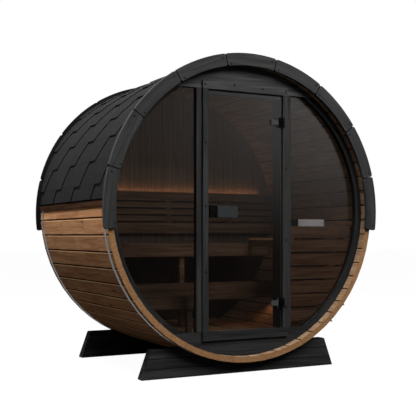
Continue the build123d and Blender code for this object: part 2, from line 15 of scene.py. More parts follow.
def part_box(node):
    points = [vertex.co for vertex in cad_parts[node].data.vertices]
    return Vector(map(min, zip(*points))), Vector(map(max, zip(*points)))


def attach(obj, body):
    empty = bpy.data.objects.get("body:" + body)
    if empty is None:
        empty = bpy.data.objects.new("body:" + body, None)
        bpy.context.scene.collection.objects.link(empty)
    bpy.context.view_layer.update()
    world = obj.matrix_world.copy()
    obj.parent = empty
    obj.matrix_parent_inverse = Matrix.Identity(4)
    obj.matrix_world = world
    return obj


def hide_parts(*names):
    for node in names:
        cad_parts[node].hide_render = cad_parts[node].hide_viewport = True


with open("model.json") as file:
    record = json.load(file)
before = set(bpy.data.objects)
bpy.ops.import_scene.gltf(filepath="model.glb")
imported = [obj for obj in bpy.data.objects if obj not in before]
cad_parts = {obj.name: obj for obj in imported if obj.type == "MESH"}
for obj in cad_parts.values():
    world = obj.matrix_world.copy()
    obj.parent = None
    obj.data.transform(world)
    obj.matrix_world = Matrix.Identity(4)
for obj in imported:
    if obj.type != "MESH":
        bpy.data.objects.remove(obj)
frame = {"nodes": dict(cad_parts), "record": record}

bl_info = {
    "name": "Barrel sauna",
    "version": (1, 0, 0),
    "blender": (4, 5, 0),
    "location": "View3D > Sidebar > Sauna",
    "description": "Dresses the packed barrel sauna and sets its stage",
    "category": "Object",
}

MM = 0.001
STAVES = [name for name in frame["nodes"] if name.startswith("staves_")]
STAVE_LOW = [min(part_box(name)[0][axis] for name in STAVES) for axis in range(3)]
STAVE_HIGH = [max(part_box(name)[1][axis] for name in STAVES) for axis in range(3)]
OPENINGS = {place["name"]: place["box_m"] for place in frame["record"]["physics"]["openings"]}
FORWARD, BACKWARD = (0.0, -1.0, 0.0), (0.0, 1.0, 0.0)

# Sizes of the wood's patterns across, along and into a board, in millimetres. Flat-sawn softwood
# shows ring bands some 30 mm wide, with streaks between them. Its fibres are far finer than the
# picture can show, so they are drawn coarser, as pores. Knots are flat, without a depth
RINGS = (29.4, 625.0, 33.3)
PORES = (2.38, 111.0, 2.38)
STREAKS = (6.67, 200.0, 6.67)
KNOTS = (83.3, 455.0)
# Ring sizes on a board's end, across and into the board
END_RINGS = (11.1, 3.85)
# How much a pattern adds to the wood's tone, and the tone without it
PORE_TONE, STREAK_TONE = (0.3, 0.85), (0.26, 0.87)
# Range that most of a noise pattern lies in
SOFT = (0.3, 0.7)
# Steps that keep the pattern of a board, or of one jointed length, apart from the next one's
FIRST_STEP, PIECE_STEP, PATTERN_STEP = 7.0, 91.7, 37.0

# Screws on the door frame: place across, and height from the barrel's axis
FRAME_SCREWS = (
    (-0.313, 0.025), (-0.313, -0.412), (-0.313, 0.45), (0.3175, -0.667), (0.3175, 0.3),
    (0.3175, -0.2), (-0.318, 0.836), (-0.096, 0.847), (0.13, 0.839), (0.318, 0.836),
)

# Lamps: place, target, size, colour, spread in degrees, and whether gloss shows them
LAMPS = {
    "key": ((-3.1, -0.65, 6.8), (-0.6, 0.0, 1.1), (1.7, 1.7), "#ffffff", 180.0, True),
    "front": ((0.6, -5.1, 4.6), (0.0, -0.7, 1.2), (3.2, 3.2), "#ffffff", 180.0, False),
    "back": ((3.4, 5.0, 3.2), (0.3, 0.4, 1.0), (3.2, 3.2), "#ffffff", 180.0, True),
    "room": ((-0.35, -0.46, 1.82), (0.35, 0.5, 0.9), (0.5, 0.3), "#fff0e2", 150.0, False),
    "wall_glow": ((0.0, 0.575, 1.288), (0.0, 0.6, 1.37), (1.7, 0.02), "#ffb679", 180.0, False),
    "heater_glow": ((0.7, 0.02, 0.47), (0.3, -0.05, 0.25), (0.06, 0.06), "#ffc294", 150.0, False),
    "heater_spot": ((0.66, -0.57, 1.55), (0.65, -0.5, 1.0), (0.15, 0.15), "#ffe6cf", 80.0, False),
}
# Lamps in the room, which the camera would see through the glass
ROOM_LAMPS = ("room", "wall_glow", "heater_glow", "heater_spot")

Space = namedtuple("Space", "across along depth place board")


# Settings


def linear(code):
    """Linear colour of an sRGB hex code. A colour from the settings is linear already."""
    if not isinstance(code, str):
        return tuple(code)
    values = [int(code[place : place + 2], 16) / 255 for place in (1, 3, 5)]
    return (*[v / 12.92 if v <= 0.04045 else ((v + 0.055) / 1.055) ** 2.4 for v in values], 1.0)


def metres(name, value, about):
    """Setting for a length."""
    return FloatProperty(name=name, description=about, default=value, unit="LENGTH")


def degrees(name, value, about):
    """Setting for an angle."""
    return FloatProperty(name=name, description=about, default=math.radians(value), unit="ROTATION")


def watts(name, value, about):
    """Setting for a lamp."""
    return FloatProperty(name=name, description=about, default=value, min=0.0, unit="POWER")


def number(name, value, about):
    """Setting for a count or a seed."""
    return IntProperty(name=name, description=about, default=value, min=1)


def tint(name, code, about):
    """Setting for a colour, from its sRGB hex code."""
    return FloatVectorProperty(
        name=name, description=about, default=linear(code), size=4, min=0.0, max=1.0, subtype="COLOR"
    )


class BarrelSettings(bpy.types.PropertyGroup):
    """Sizes of the barrel and its boards that the materials follow."""

    axis_height: metres(
        "Axis height", round((STAVE_LOW[2] + STAVE_HIGH[2]) / 2, 4), "From the ground to the barrel's axis"
    )
    radius: metres("Stave radius", round(STAVE_HIGH[0], 4), "From the axis to the middle of a stave's face")
    thickness: metres("Stave thickness", 0.038, "Between the two faces of a stave")
    staves: number("Staves", 58, "Staves round the barrel")
    section: metres("Jointed length", 0.46, "Between two finger joints of a stave")
    back_board: metres("Back board", 0.095, "Pitch of the upright boards at the back")
    fascia_angle: degrees("Fascia board", 21.6, "Angle that one arched board takes up")
    frame_board: metres("Frame board", 0.3, "Pitch of the tones on the front wall")
    bench_slat: metres("Bench slat", 0.053, "Pitch of the tones on the benches")
    guard_slat: metres("Guard slat", 0.0996, "Pitch of the heater guard's slats")
    floor_board: metres("Floor board", 0.0985, "Pitch of the floor's boards")
    cradle_board: metres("Cradle board", 0.066, "Height of one board of a cradle")


class RoofSettings(bpy.types.PropertyGroup):
    """Hexagonal shingles."""

    radius: metres("Deck radius", 1.02865, "From the axis to the underside of the shingles")
    half_length: metres(
        "Half length", round(STAVE_HIGH[1] - 0.2 * MM, 4), "From the middle of the roof to the fascia"
    )
    first_angle: degrees("Ridge edge", 7.8, "Where the ridge cap ends, from the top")
    course_angle: degrees("Course", 9.15, "Angle that one course shows")
    eave_angle: degrees("Eave", 86.35, "Where the last course ends, from the top")
    courses: number("Courses", 8, "Full courses on each slope")
    period: metres("Tab pitch", 0.402, "Between two tabs of a course")
    tab_foot: metres("Tab foot", 0.112, "Width of a tab at its lower edge")
    tab_head: metres("Tab head", 0.29, "Width of a tab at its widest")
    thickness: metres("Thickness", 0.0045, "Thickness of a shingle")
    rise: metres("Butt height", 0.0094, "Height of a tab's lower edge over the deck")
    # The dark edge and butt are the felt's black cut edges, drawn wider, with painted shadow along them
    border: metres("Dark edge", 0.004, "Width of the black cut edge at the sides of a tab")
    butt: metres("Dark butt", 0.009, "Width of the black cut edge at the foot of a tab")
    phase: metres("First tab", 0.074, "Shift of the courses along the barrel")
    seed: number("Seed", 5, "Seed of the tabs' tones")


class FittingSettings(bpy.types.PropertyGroup):
    """Screws and stones."""

    head_radius: metres("Screw head", 0.0075, "Radius of a screw's head")
    head_height: metres("Head height", 0.0012, "Height of a screw's head")
    stone_size: metres("Stone", 0.028, "Radius of a stone")
    stones: number("Stones", 90, "Most stones in the heater's bin")
    seed: number("Seed", 11, "Seed of the stones")


class FinishSettings(bpy.types.PropertyGroup):
    """Colours that a maker would offer."""

    stave_light: tint("Staves, light", "#b78963", "Early wood of the staves")
    stave_dark: tint("Staves, dark", "#9e6e4d", "Late wood of the staves")
    end_light: tint("End grain, light", "#987250", "Early wood at the staves' ends")
    end_dark: tint("End grain, dark", "#684b30", "Late wood at the staves' ends")
    shingle_light: tint("Shingles, light", "#1f1f20", "Pale grit")
    shingle_dark: tint("Shingles, dark", "#111112", "Dark grit")
    fascia_light: tint("Fascia, light", "#373737", "Stain on early wood")
    fascia_dark: tint("Fascia, dark", "#2c2c2c", "Stain on late wood")
    frame_light: tint("Frame, light", "#343434", "Stain on early wood of the uprights")
    frame_dark: tint("Frame, dark", "#262626", "Stain on late wood of the uprights")
    bench_light: tint("Benches, light", "#7a6250", "Early wood of the slats")
    bench_dark: tint("Benches, dark", "#5e4837", "Late wood of the slats")
    floor_light: tint("Floor, light", "#8c7258", "Early wood of the floor")
    floor_dark: tint("Floor, dark", "#6b533f", "Late wood of the floor")
    glass_light: tint("Glass, light", "#171412", "Bronze tint where it is palest")
    glass_dark: tint("Glass, dark", "#110e0c", "Bronze tint where it is deepest")
    hoop_light: tint("Hoops, light", "#717376", "Bright zinc")
    hoop_dark: tint("Hoops, dark", "#56585b", "Dull zinc")


class StageSettings(bpy.types.PropertyGroup):
    """Camera and light."""

    camera: FloatVectorProperty(
        name="Camera",
        description="Place of the camera",
        default=(-2.8947, -5.6036, 0.9348),
        subtype="TRANSLATION",
        unit="LENGTH",
    )
    yaw: degrees("Yaw", 27.758, "Turn of the camera from the barrel's axis")
    lens: FloatProperty(name="Lens", description="Focal length", default=72.69, unit="CAMERA")
    shift: FloatProperty(name="Shift", description="Upright shift of the lens", default=0.0673)
    key: watts("Key", 760.0, "High lamp on the left")
    front: watts("Front", 420.0, "Wide lamp before the glass")
    back: watts("Back", 420.0, "Wide lamp behind")
    room: watts("Room", 1.7, "Ceiling lamp of the room")
    wall_glow: watts("Wall glow", 2.5, "Light strip along the back wall")
    heater_glow: watts("Heater glow", 0.55, "Warm light under the heater")
    heater_spot: watts("Heater spot", 0.8, "Light over the stones")
    sky: FloatProperty(name="Sky", description="Strength of the soft light from above", default=0.6)


# Small helpers


def add(tree, kind, *values, out=0, **settings):
    """Output of a new node, with its settings and its inputs linked or set, in order or by a dict."""
    node = tree.nodes.new(kind if "Node" in kind else "ShaderNode" + kind)
    for key, value in settings.items():
        setattr(node, key, value)
    inputs = values[0] if values and isinstance(values[0], dict) else dict(enumerate(values))
    for key, value in inputs.items():
        if isinstance(value, bpy.types.NodeSocket):
            tree.links.new(value, node.inputs[key])
        else:
            node.inputs[key].default_value = value
    return node.outputs if out is None else node.outputs[out]


def row_place(tree):
    """X, Y and Z in the row frame."""
    return add(tree, "SeparateXYZ", add(tree, "TexCoord", out="Object"), out=None)


def end_face(tree):
    """1 on faces that look along the barrel."""
    facing = add(tree, "SeparateXYZ", add(tree, "NewGeometry", out="True Normal"), out=1)
    facing = add(tree, "Math", facing, operation="ABSOLUTE")
    return add(tree, "Math", facing, 0.9, operation="GREATER_THAN")


def material(name, rough, metallic=0.0, gloss=0.5):
    """New material with its tree and shader."""
    made = bpy.data.materials.new(name)
    made.use_nodes = True
    shader = made.node_tree.nodes["Principled BSDF"]
    shader.inputs["Roughness"].default_value = rough
    shader.inputs["Metallic"].default_value = metallic
    shader.inputs["Specular IOR Level"].default_value = gloss
    return made, made.node_tree, shader


def dress(tree, shader, colour=None, rough=None, height=None, strength=0.0, depth=0.0, under=None):
    """Link a colour, a roughness and a relief to a shader, the relief over another one."""
    if colour is not None:
        tree.links.new(colour, shader.inputs["Base Color"])
    if rough is not None:
        tree.links.new(rough, shader.inputs["Roughness"])
    if height is not None:
        sockets = {"Height": height, "Strength": strength, "Distance": depth}
        if under is not None:
            sockets["Normal"] = under
        tree.links.new(add(tree, "Bump", sockets), shader.inputs["Normal"])


def coat(made):
    """Tree, shader and present colour of a finished material."""
    shader = made.node_tree.nodes["Principled BSDF"]
    return made.node_tree, shader, shader.inputs["Base Color"].links[0].from_socket


def overlay(made, mask, code):
    """Lay another colour over a material where the mask is 1."""
    tree, shader, under = coat(made)
    dress(tree, shader, add(tree, "Mix", {0: mask, 6: under, 7: linear(code)}, out=2, data_type="RGBA"))


def paint(made, *names):
    """Give CAD nodes a material."""
    for name in names:
        mesh_object = frame["nodes"][name]
        if not mesh_object.material_slots:
            mesh_object.data.materials.append(made)
        mesh_object.material_slots[0].material = made


def round_edges(width, *names):
    """Small rounded edges on CAD boards, as modifiers."""
    for name in names:
        board = frame["nodes"][name]
        board.modifiers.new("weld", "WELD").merge_threshold = 0.05 * MM
        bevel = board.modifiers.new("edges", "BEVEL")
        bevel.width = width
        bevel.segments = 2
        bevel.limit_method = "ANGLE"
        bevel.angle_limit = math.radians(35.0)
        bevel.harden_normals = False


def mesh_piece(name, points, faces):
    """Object from points and faces, in the scene."""
    mesh = bpy.data.meshes.new(name)
    mesh.from_pydata(points, [], faces)
    piece = bpy.data.objects.new(name, mesh)
    bpy.context.scene.collection.objects.link(piece)
    return piece


def settle(piece):
    """Turn a piece with modifiers into a plain mesh."""
    graph = bpy.context.evaluated_depsgraph_get()
    mesh = bpy.data.meshes.new_from_object(piece.evaluated_get(graph), depsgraph=graph)
    piece.modifiers.clear()
    piece.data = mesh


def node_modifier(piece, group, **values):
    """Geometry Nodes modifier with its inputs set by identifier."""
    modifier = piece.modifiers.new(group.name, "NODES")
    modifier.node_group = group
    for item in group.interface.items_tree:
        if item.in_out == "INPUT" and item.name in values:
            modifier[item.identifier] = values[item.name]
    piece.update_tag()


def geometry_group(name, **inputs):
    """Geometry Nodes tree with a geometry socket each way and named inputs."""
    group = bpy.data.node_groups.new(name, "GeometryNodeTree")
    group.interface.new_socket("Geometry", in_out="OUTPUT", socket_type="NodeSocketGeometry")
    group.interface.new_socket("Geometry", in_out="INPUT", socket_type="NodeSocketGeometry")
    for key, kind in inputs.items():
        group.interface.new_socket(key, in_out="INPUT", socket_type="NodeSocket" + kind)
    return group, group.nodes.new("NodeGroupInput").outputs, group.nodes.new("NodeGroupOutput")


def finish_group(group, output, geometry, made):
    """End a tree with realized instances in one material."""
    geometry = add(group, "GeometryNodeRealizeInstances", geometry)
    geometry = add(group, "GeometryNodeSetMaterial", {"Geometry": geometry, "Material": made})
    group.links.new(geometry, output.inputs[0])
    return group


# Wood


def planks(along, across, pitch, start=0.0):
    """Straight boards side by side, along one axis and across another."""

    def space(tree):
        """Place on each board."""
        place = dict(zip("xyz", row_place(tree)))
        count = add(tree, "Math", place[across], start, operation="SUBTRACT")
        count = add(tree, "Math", count, pitch, operation="DIVIDE")
        depth = place[next(axis for axis in "xyz" if axis not in (along, across))]
        return Space(place[across], place[along], depth, count, add(tree, "Math", count, operation="FLOOR"))

    return space


def ring_space(tree):
    """Angle from the top, distance from the barrel's axis, and the place along it."""
    x, y, z = row_place(tree)
    height = add(tree, "Math", z, bpy.context.scene.sauna_barrel.axis_height, operation="SUBTRACT")
    angle = add(tree, "Math", x, height, operation="ARCTAN2")
    square = add(tree, "Math", height, height, operation="MULTIPLY")
    square = add(tree, "Math", x, x, square, operation="MULTIPLY_ADD")
    return angle, add(tree, "Math", square, operation="SQRT"), y


def stave_space(tree):
    """Staves round the barrel."""
    barrel = bpy.context.scene.sauna_barrel
    angle, reach, y = ring_space(tree)
    count = add(tree, "Math", angle, barrel.staves / math.tau, operation="MULTIPLY")
    part = add(tree, "Math", count, operation="FRACT")
    across = add(tree, "Math", part, math.tau * barrel.radius / barrel.staves, operation="MULTIPLY")
    return Space(across, y, reach, count, add(tree, "Math", count, operation="FLOOR"))


def arch_space(tree):
    """Fascia boards sawn from straight planks."""
    angle, reach, y = ring_space(tree)
    pitch = bpy.context.scene.sauna_barrel.fascia_angle
    count = add(tree, "Math", angle, 1 / pitch, 0.5, operation="MULTIPLY_ADD")
    part = add(tree, "Math", count, operation="FRACT")
    local = add(tree, "Math", part, pitch, -pitch / 2, operation="MULTIPLY_ADD")
    along = add(tree, "Math", reach, add(tree, "Math", local, operation="SINE"), operation="MULTIPLY")
    across = add(tree, "Math", reach, add(tree, "Math", local, operation="COSINE"), operation="MULTIPLY")
    return Space(across, along, y, count, add(tree, "Math", count, operation="FLOOR"))


def field(tree, grain, sizes, *shifts):
    """Place on a board counted in sizes of so many millimetres, each with its shift."""
    counts = []
    for place, size, moved in zip((grain.across, grain.along, grain.depth), sizes, shifts):
        counts.append(add(tree, "Math", place, 1 / (size * MM), moved, operation="MULTIPLY_ADD"))
    return add(tree, "CombineXYZ", *counts)


def finger_joints(tree, grain, section):
    """Number of each jointed length of a board, and the tone of the line between two of them."""
    # The line is as thin as a hair, and is drawn wider so that it shows
    width, dark = 3.0 * MM, 0.7
    first = add(tree, "TexWhiteNoise", {"W": grain.board}, noise_dimensions="1D")
    first = add(tree, "Math", first, FIRST_STEP, operation="MULTIPLY")
    count = add(tree, "Math", grain.along, 1 / section, first, operation="MULTIPLY_ADD")
    piece = add(tree, "Math", count, operation="FLOOR")
    board = add(tree, "Math", piece, PIECE_STEP, grain.board, operation="MULTIPLY_ADD")
    edge = add(tree, "Math", count, operation="FRACT")
    line = add(tree, "Math", edge, width / section, operation="LESS_THAN")
    return board, add(tree, "Math", line, -dark, 1.0, operation="MULTIPLY_ADD")


def knot_tone(tree, grain, shift, dark):
    """Tone of a few small knots."""
    core, rim, share = 0.03, 0.13, 0.3
    spot = field(tree, grain, KNOTS, shift, shift)
    cell = add(tree, "TexVoronoi", {"Vector": spot, "Scale": 1.0}, out=None, voronoi_dimensions="2D")
    rare = add(tree, "Math", add(tree, "SeparateXYZ", cell["Color"]), share, operation="LESS_THAN")
    ends = (core, rim, -dark, 0.0)
    heart = add(tree, "MapRange", cell["Distance"], *ends, interpolation_type="SMOOTHSTEP")
    return add(tree, "Math", heart, rare, 1.0, operation="MULTIPLY_ADD")


def board_edge(tree, grain):
    """Place across a board from its middle, as a share of its width: 0.5 is the joint."""
    part = add(tree, "Math", grain.place, operation="FRACT")
    part = add(tree, "Math", part, 0.5, operation="SUBTRACT")
    return add(tree, "Math", part, operation="ABSOLUTE")


def end_grain(tree, grain, shift, light, dark):
    """Colour of a board's sawn end."""
    width, depth = END_RINGS
    across = add(tree, "Math", grain.across, 1 / (width * MM), shift, operation="MULTIPLY_ADD")
    deep = add(tree, "Math", grain.depth, 1 / (depth * MM), operation="MULTIPLY")
    spot = add(tree, "CombineXYZ", across, deep, shift)
    speck = add(tree, "TexNoise", {"Vector": spot, "Scale": 1.0, "Detail": 3.0, "Roughness": 0.55})
    speck = add(tree, "MapRange", speck, *SOFT, interpolation_type="SMOOTHSTEP")
    return add(tree, "Mix", {0: speck, 6: linear(dark), 7: linear(light)}, out=2, data_type="RGBA")


def wood(
    name, light, dark, space, rough=0.6, spread=0.3, section=0.0, groove=0.0, vee=0.0, seam=0.8,
    knots=0.0, end=None,
):
    """Planed wood with rings, pores, a tone for each board, knots, and joints between boards."""
    made, tree, shader = material(name, rough, gloss=0.0)
    grain = space(tree)
    cut = end_face(tree)
    board, line, joint = grain.board, None, None
    if section:
        board, line = finger_joints(tree, grain, section)
    pick = add(tree, "TexWhiteNoise", {"W": board}, noise_dimensions="1D")
    shift = add(tree, "Math", pick, PATTERN_STEP, operation="MULTIPLY")
    spot = field(tree, grain, RINGS, shift, shift, 0.0)
    sockets = {"Vector": spot, "Scale": 1.0, "Detail": 4.0, "Roughness": 0.55, "Distortion": 0.9}
    rings = add(tree, "TexNoise", sockets)
    spot = field(tree, grain, PORES, 0.0, 0.0, 0.0)
    sockets = {"Vector": spot, "Scale": 1.0, "Detail": 2.0, "Roughness": 0.55}
    pores = add(tree, "TexNoise", sockets)
    streak = add(tree, "TexNoise", {**sockets, "Vector": field(tree, grain, STREAKS, shift, 0.0, 0.0)})
    streak = add(tree, "MapRange", streak, *SOFT, interpolation_type="SMOOTHSTEP")
    bands = add(tree, "MapRange", rings, 0.32, 0.68, interpolation_type="SMOOTHSTEP")
    colour = add(tree, "Mix", {0: bands, 6: linear(dark), 7: linear(light)}, out=2, data_type="RGBA")
    tone = add(tree, "Math", pick, spread, 1.0 - spread / 2, operation="MULTIPLY_ADD")
    part = add(tree, "Math", pores, *PORE_TONE, operation="MULTIPLY_ADD")
    bare = add(tree, "Math", tone, part, operation="MULTIPLY")
    tones = [add(tree, "Math", streak, *STREAK_TONE, operation="MULTIPLY_ADD")]
    if knots:
        tones.append(knot_tone(tree, grain, shift, knots))
    if groove:
        gap = board_edge(tree, grain)
        ends = (0.5 - groove, 0.5 - groove / 2, 1.0, 1.0 - seam)
        tones.append(add(tree, "MapRange", gap, *ends, interpolation_type="SMOOTHSTEP"))
        if vee:
            # The bevels beside a joint are drawn wider than they are, so that they show
            slope = add(tree, "MapRange", gap, 0.5 - vee, 0.5, 1.0, 0.0)
            slope = add(tree, "Math", slope, cut, operation="MAXIMUM")
            joint = add(tree, "Bump", {"Height": slope, "Strength": 1.0, "Distance": 6.0 * MM})
    if line is not None:
        tones.append(line)
    tone = bare
    for part in tones:
        tone = add(tree, "Math", tone, part, operation="MULTIPLY")
    colour = add(tree, "VectorMath", {0: colour, "Scale": tone}, operation="SCALE")
    if end:
        face = end_grain(tree, grain, shift, *end)
        face = add(tree, "VectorMath", {0: face, "Scale": bare}, operation="SCALE")
        colour = add(tree, "Mix", {0: cut, 6: colour, 7: face}, out=2, data_type="RGBA")
    matt = add(tree, "Math", pores, 0.25, rough - 0.12, operation="MULTIPLY_ADD")
    height = add(tree, "Math", rings, 0.6, pores, operation="MULTIPLY_ADD")
    dress(tree, shader, colour, matt, height, 0.35, 0.6 * MM, joint)
    return made


# Roof


def shingle_cell(roof):
    """One tab with the strip above it, flat: X along the barrel, Y down the slope, Z up."""
    course = roof.course_angle * roof.radius
    slope = roof.rise - roof.thickness
    points, faces, edge = [], [], []

    def sheet(rows, columns, dark):
        """Closed sheet through rows of Y and the columns' X for each row."""
        start = len(points)
        count = len(columns(rows[0]))
        for top in (1, 0):
            for y in rows:
                for place, x in enumerate(columns(y)):
                    lift = slope * y / course + roof.rise - slope
                    points.append((x, y, lift + (0.0 if top else -roof.thickness)))
                    edge.append(dark(y, place))
        size = len(rows) * count
        for layer in (0, 1):
            for row in range(len(rows) - 1):
                for column in range(count - 1):
                    first = start + layer * size + row * count + column
                    faces.append((first, first + 1, first + count + 1, first + count))
        rim = list(range(count))
        rim += [row * count + count - 1 for row in range(1, len(rows))]
        rim += [(len(rows) - 1) * count + column for column in range(count - 2, -1, -1)]
        rim += [row * count for row in range(len(rows) - 2, 0, -1)]
        for here, there in zip(rim, rim[1:] + rim[:1]):
            faces.append((start + here, start + there, start + there + size, start + here + size))

    def body_columns(y):
        """Columns of the strip, which are upright."""
        half = roof.period / 2
        return (-half, -roof.tab_foot, 0.0, roof.tab_foot, half)

    def tab_columns(y):
        """Columns of the tab, which narrows to its foot."""
        half = roof.tab_head / 2 + (roof.tab_foot - roof.tab_head) / 2 * y / course
        return (-half, roof.border - half, 0.0, half - roof.border, half)

    def strip_black_and_shade(y, place):
        """How black the strip is, as its cut edge with painted shadow: only along its foot."""
        return 1.0 if y > -roof.butt / 2 else 0.0

    def tab_black_and_shade(y, place):
        """How black the tab is, as its cut edge with painted shadow: along its foot and first side, and less
        along its last.
        """
        return 1.0 if y > course - roof.butt / 2 or place == 0 else 0.6 * (place == 4)

    steps = 4
    body = [course * (step / steps - 1.0) for step in range(steps)] + [-roof.butt, 0.0]
    sheet(body, body_columns, strip_black_and_shade)
    tab = [course * step / steps for step in range(steps)] + [course - roof.butt, course]
    sheet(tab, tab_columns, tab_black_and_shade)
    cell = mesh_piece("shingle_cell", points, faces)
    cell.data.attributes.new("edge", "FLOAT", "POINT").data.foreach_set("value", edge)
    return cell


def shingle_group():
    """Tree that lays tabs in staggered courses and bends them round the barrel."""
    kinds = {"Period": "Float", "Course": "Float", "Columns": "Int", "Rows": "Int", "Radius": "Float"}
    kinds.update({"First Angle": "Float", "Axis Height": "Float", "Side": "Float", "Phase": "Float"})
    group, given, output = geometry_group("hexagon_shingles", **kinds, Seed="Int", Material="Material")
    columns = add(group, "Math", given["Columns"], 1.0, operation="SUBTRACT")
    span = add(group, "Math", given["Period"], columns, operation="MULTIPLY")
    rows = add(group, "Math", given["Rows"], 1.0, operation="SUBTRACT")
    depth = add(group, "Math", given["Course"], rows, operation="MULTIPLY")
    sockets = {"Size X": span, "Size Y": depth, "Vertices X": given["Columns"], "Vertices Y": given["Rows"]}
    grid = add(group, "GeometryNodeMeshGrid", sockets)
    place = add(group, "SeparateXYZ", add(group, "GeometryNodeInputPosition"), out=None)
    row = add(group, "Math", depth, 0.5, place[1], operation="MULTIPLY_ADD")
    row = add(group, "Math", row, given["Course"], operation="DIVIDE")
    row = add(group, "Math", row, operation="ROUND")
    odd = add(group, "Math", row, 2.0, operation="MODULO")
    half = add(group, "Math", given["Period"], 0.5, operation="MULTIPLY")
    x = add(group, "Math", place[0], given["Phase"], operation="ADD")
    x = add(group, "Math", odd, half, x, operation="MULTIPLY_ADD")
    y = add(group, "Math", row, given["Course"], operation="MULTIPLY")
    spots = add(group, "CombineXYZ", x, y, 0.0)
    grid = add(group, "GeometryNodeSetPosition", {"Geometry": grid, "Position": spots})
    tabs = add(group, "GeometryNodeInstanceOnPoints", {"Points": grid, "Instance": given["Geometry"]})
    pick = add(group, "FunctionNodeRandomValue", {"Seed": given["Seed"]}, out=1, data_type="FLOAT")
    sockets = {"Geometry": tabs, "Name": "tone", "Value": pick}
    tabs = add(group, "GeometryNodeStoreNamedAttribute", sockets, data_type="FLOAT", domain="INSTANCE")
    tabs = add(group, "GeometryNodeRealizeInstances", tabs)
    flat = add(group, "SeparateXYZ", add(group, "GeometryNodeInputPosition"), out=None)
    turn = add(group, "Math", flat[1], given["Radius"], operation="DIVIDE")
    turn = add(group, "Math", given["First Angle"], turn, operation="ADD")
    turn = add(group, "Math", turn, given["Side"], operation="MULTIPLY")
    reach = add(group, "Math", given["Radius"], flat[2], operation="ADD")
    cosine, sine = add(group, "Math", turn, operation="COSINE"), add(group, "Math", turn, operation="SINE")
    height = add(group, "Math", reach, cosine, given["Axis Height"], operation="MULTIPLY_ADD")
    bent = add(group, "CombineXYZ", add(group, "Math", reach, sine, operation="MULTIPLY"), flat[0], height)
    tabs = add(group, "GeometryNodeSetPosition", {"Geometry": tabs, "Position": bent})
    return finish_group(group, output, tabs, given["Material"])


def trim_roof(piece, roof, axis_height, side):
    """Saw shingles off at both ends, the ridge and the eave, and close the cuts."""
    edit = bmesh.new()
    edit.from_mesh(piece.data)
    axis = Vector((0.0, 0.0, axis_height))
    cuts = [(Vector((0.0, way * roof.half_length, 0.0)), Vector((0.0, way, 0.0))) for way in (-1.0, 1.0)]
    for angle, way in ((roof.first_angle, -1.0), (roof.eave_angle, 1.0)):
        cuts.append((axis, way * Vector((side * math.cos(angle), 0.0, -math.sin(angle)))))
    for spot, facing in cuts:
        parts = edit.verts[:] + edit.edges[:] + edit.faces[:]
        made = bmesh.ops.bisect_plane(edit, geom=parts, plane_co=spot, plane_no=facing, clear_outer=True)
        rim = [part for part in made["geom_cut"] if isinstance(part, bmesh.types.BMEdge)]
        bmesh.ops.holes_fill(edit, edges=rim)
    bmesh.ops.recalc_face_normals(edit, faces=edit.faces[:])
    edit.to_mesh(piece.data)
    edit.free()
    piece.data.shade_smooth()
    piece.data.set_sharp_from_angle(angle=math.radians(25.0))


def shingle_material(finish):
    """Bitumen felt with mineral grit: matt and near black, speckled, each tab a little off the next."""
    made, tree, shader = material("bitumen_felt", 0.85, gloss=0.05)
    spot = add(tree, "TexCoord", out="Object")
    # Grit grains are 1 mm and gather in patches of 140 mm. Grains don't show in the picture, so flecks
    # of 6 mm stand for them too
    sockets = {"Vector": spot, "Scale": 1 / (1.11 * MM), "Detail": 2.0, "Roughness": 0.55}
    grit = add(tree, "TexNoise", sockets)
    fleck = add(tree, "TexNoise", {**sockets, "Scale": 1 / (5.88 * MM)})
    patch = add(tree, "TexNoise", {**sockets, "Scale": 1 / (143.0 * MM), "Detail": 3.0})
    tone = add(tree, "Attribute", out="Fac", attribute_name="tone")
    edge = add(tree, "Attribute", out="Fac", attribute_name="edge")
    pale = add(tree, "MapRange", grit, *SOFT, interpolation_type="SMOOTHSTEP")
    sockets = {0: pale, 6: linear(finish.shingle_dark), 7: linear(finish.shingle_light)}
    colour = add(tree, "Mix", sockets, out=2, data_type="RGBA")
    shade = add(tree, "Math", patch, 0.4, 0.69, operation="MULTIPLY_ADD")
    shade = add(tree, "Math", tone, 0.22, shade, operation="MULTIPLY_ADD")
    part = add(tree, "MapRange", fleck, 0.25, 0.75, 0.5, 1.5, interpolation_type="SMOOTHSTEP")
    shade = add(tree, "Math", shade, part, operation="MULTIPLY")
    colour = add(tree, "VectorMath", {0: colour, "Scale": shade}, operation="SCALE")
    # Black cut edges of the tabs, with painted shadow along them
    black = add(tree, "MapRange", edge, 0.2, 0.8, 0.0, 0.9, interpolation_type="SMOOTHSTEP")
    colour = add(tree, "Mix", {0: black, 6: colour, 7: linear("#0b0b0c")}, out=2, data_type="RGBA")
    dress(tree, shader, colour, None, grit, 0.5, 1.0 * MM)
    return made


# Fittings


def brushed(name, light, dark, rough, lines, metallic, gloss=0.5):
    """Metal or coat with lines of so many millimetres along X, Y and Z, coarser than real ones to show."""
    # A full metal would mirror the white stage, so metallic is lowered until the tone is right
    made, tree, shader = material(name, rough, metallic, gloss)
    counts = []
    for place, size in zip(row_place(tree), lines):
        counts.append(add(tree, "Math", place, 1 / (size * MM), operation="MULTIPLY"))
    spot = add(tree, "CombineXYZ", *counts)
    mark = add(tree, "TexNoise", {"Vector": spot, "Scale": 1.0, "Detail": 3.0, "Roughness": 0.55})
    colour = add(tree, "Mix", {0: mark, 6: linear(dark), 7: linear(light)}, out=2, data_type="RGBA")
    matt = add(tree, "Math", mark, 0.2, rough - 0.1, operation="MULTIPLY_ADD")
    dress(tree, shader, colour, matt, mark, 0.1, 0.2 * MM)
    return made


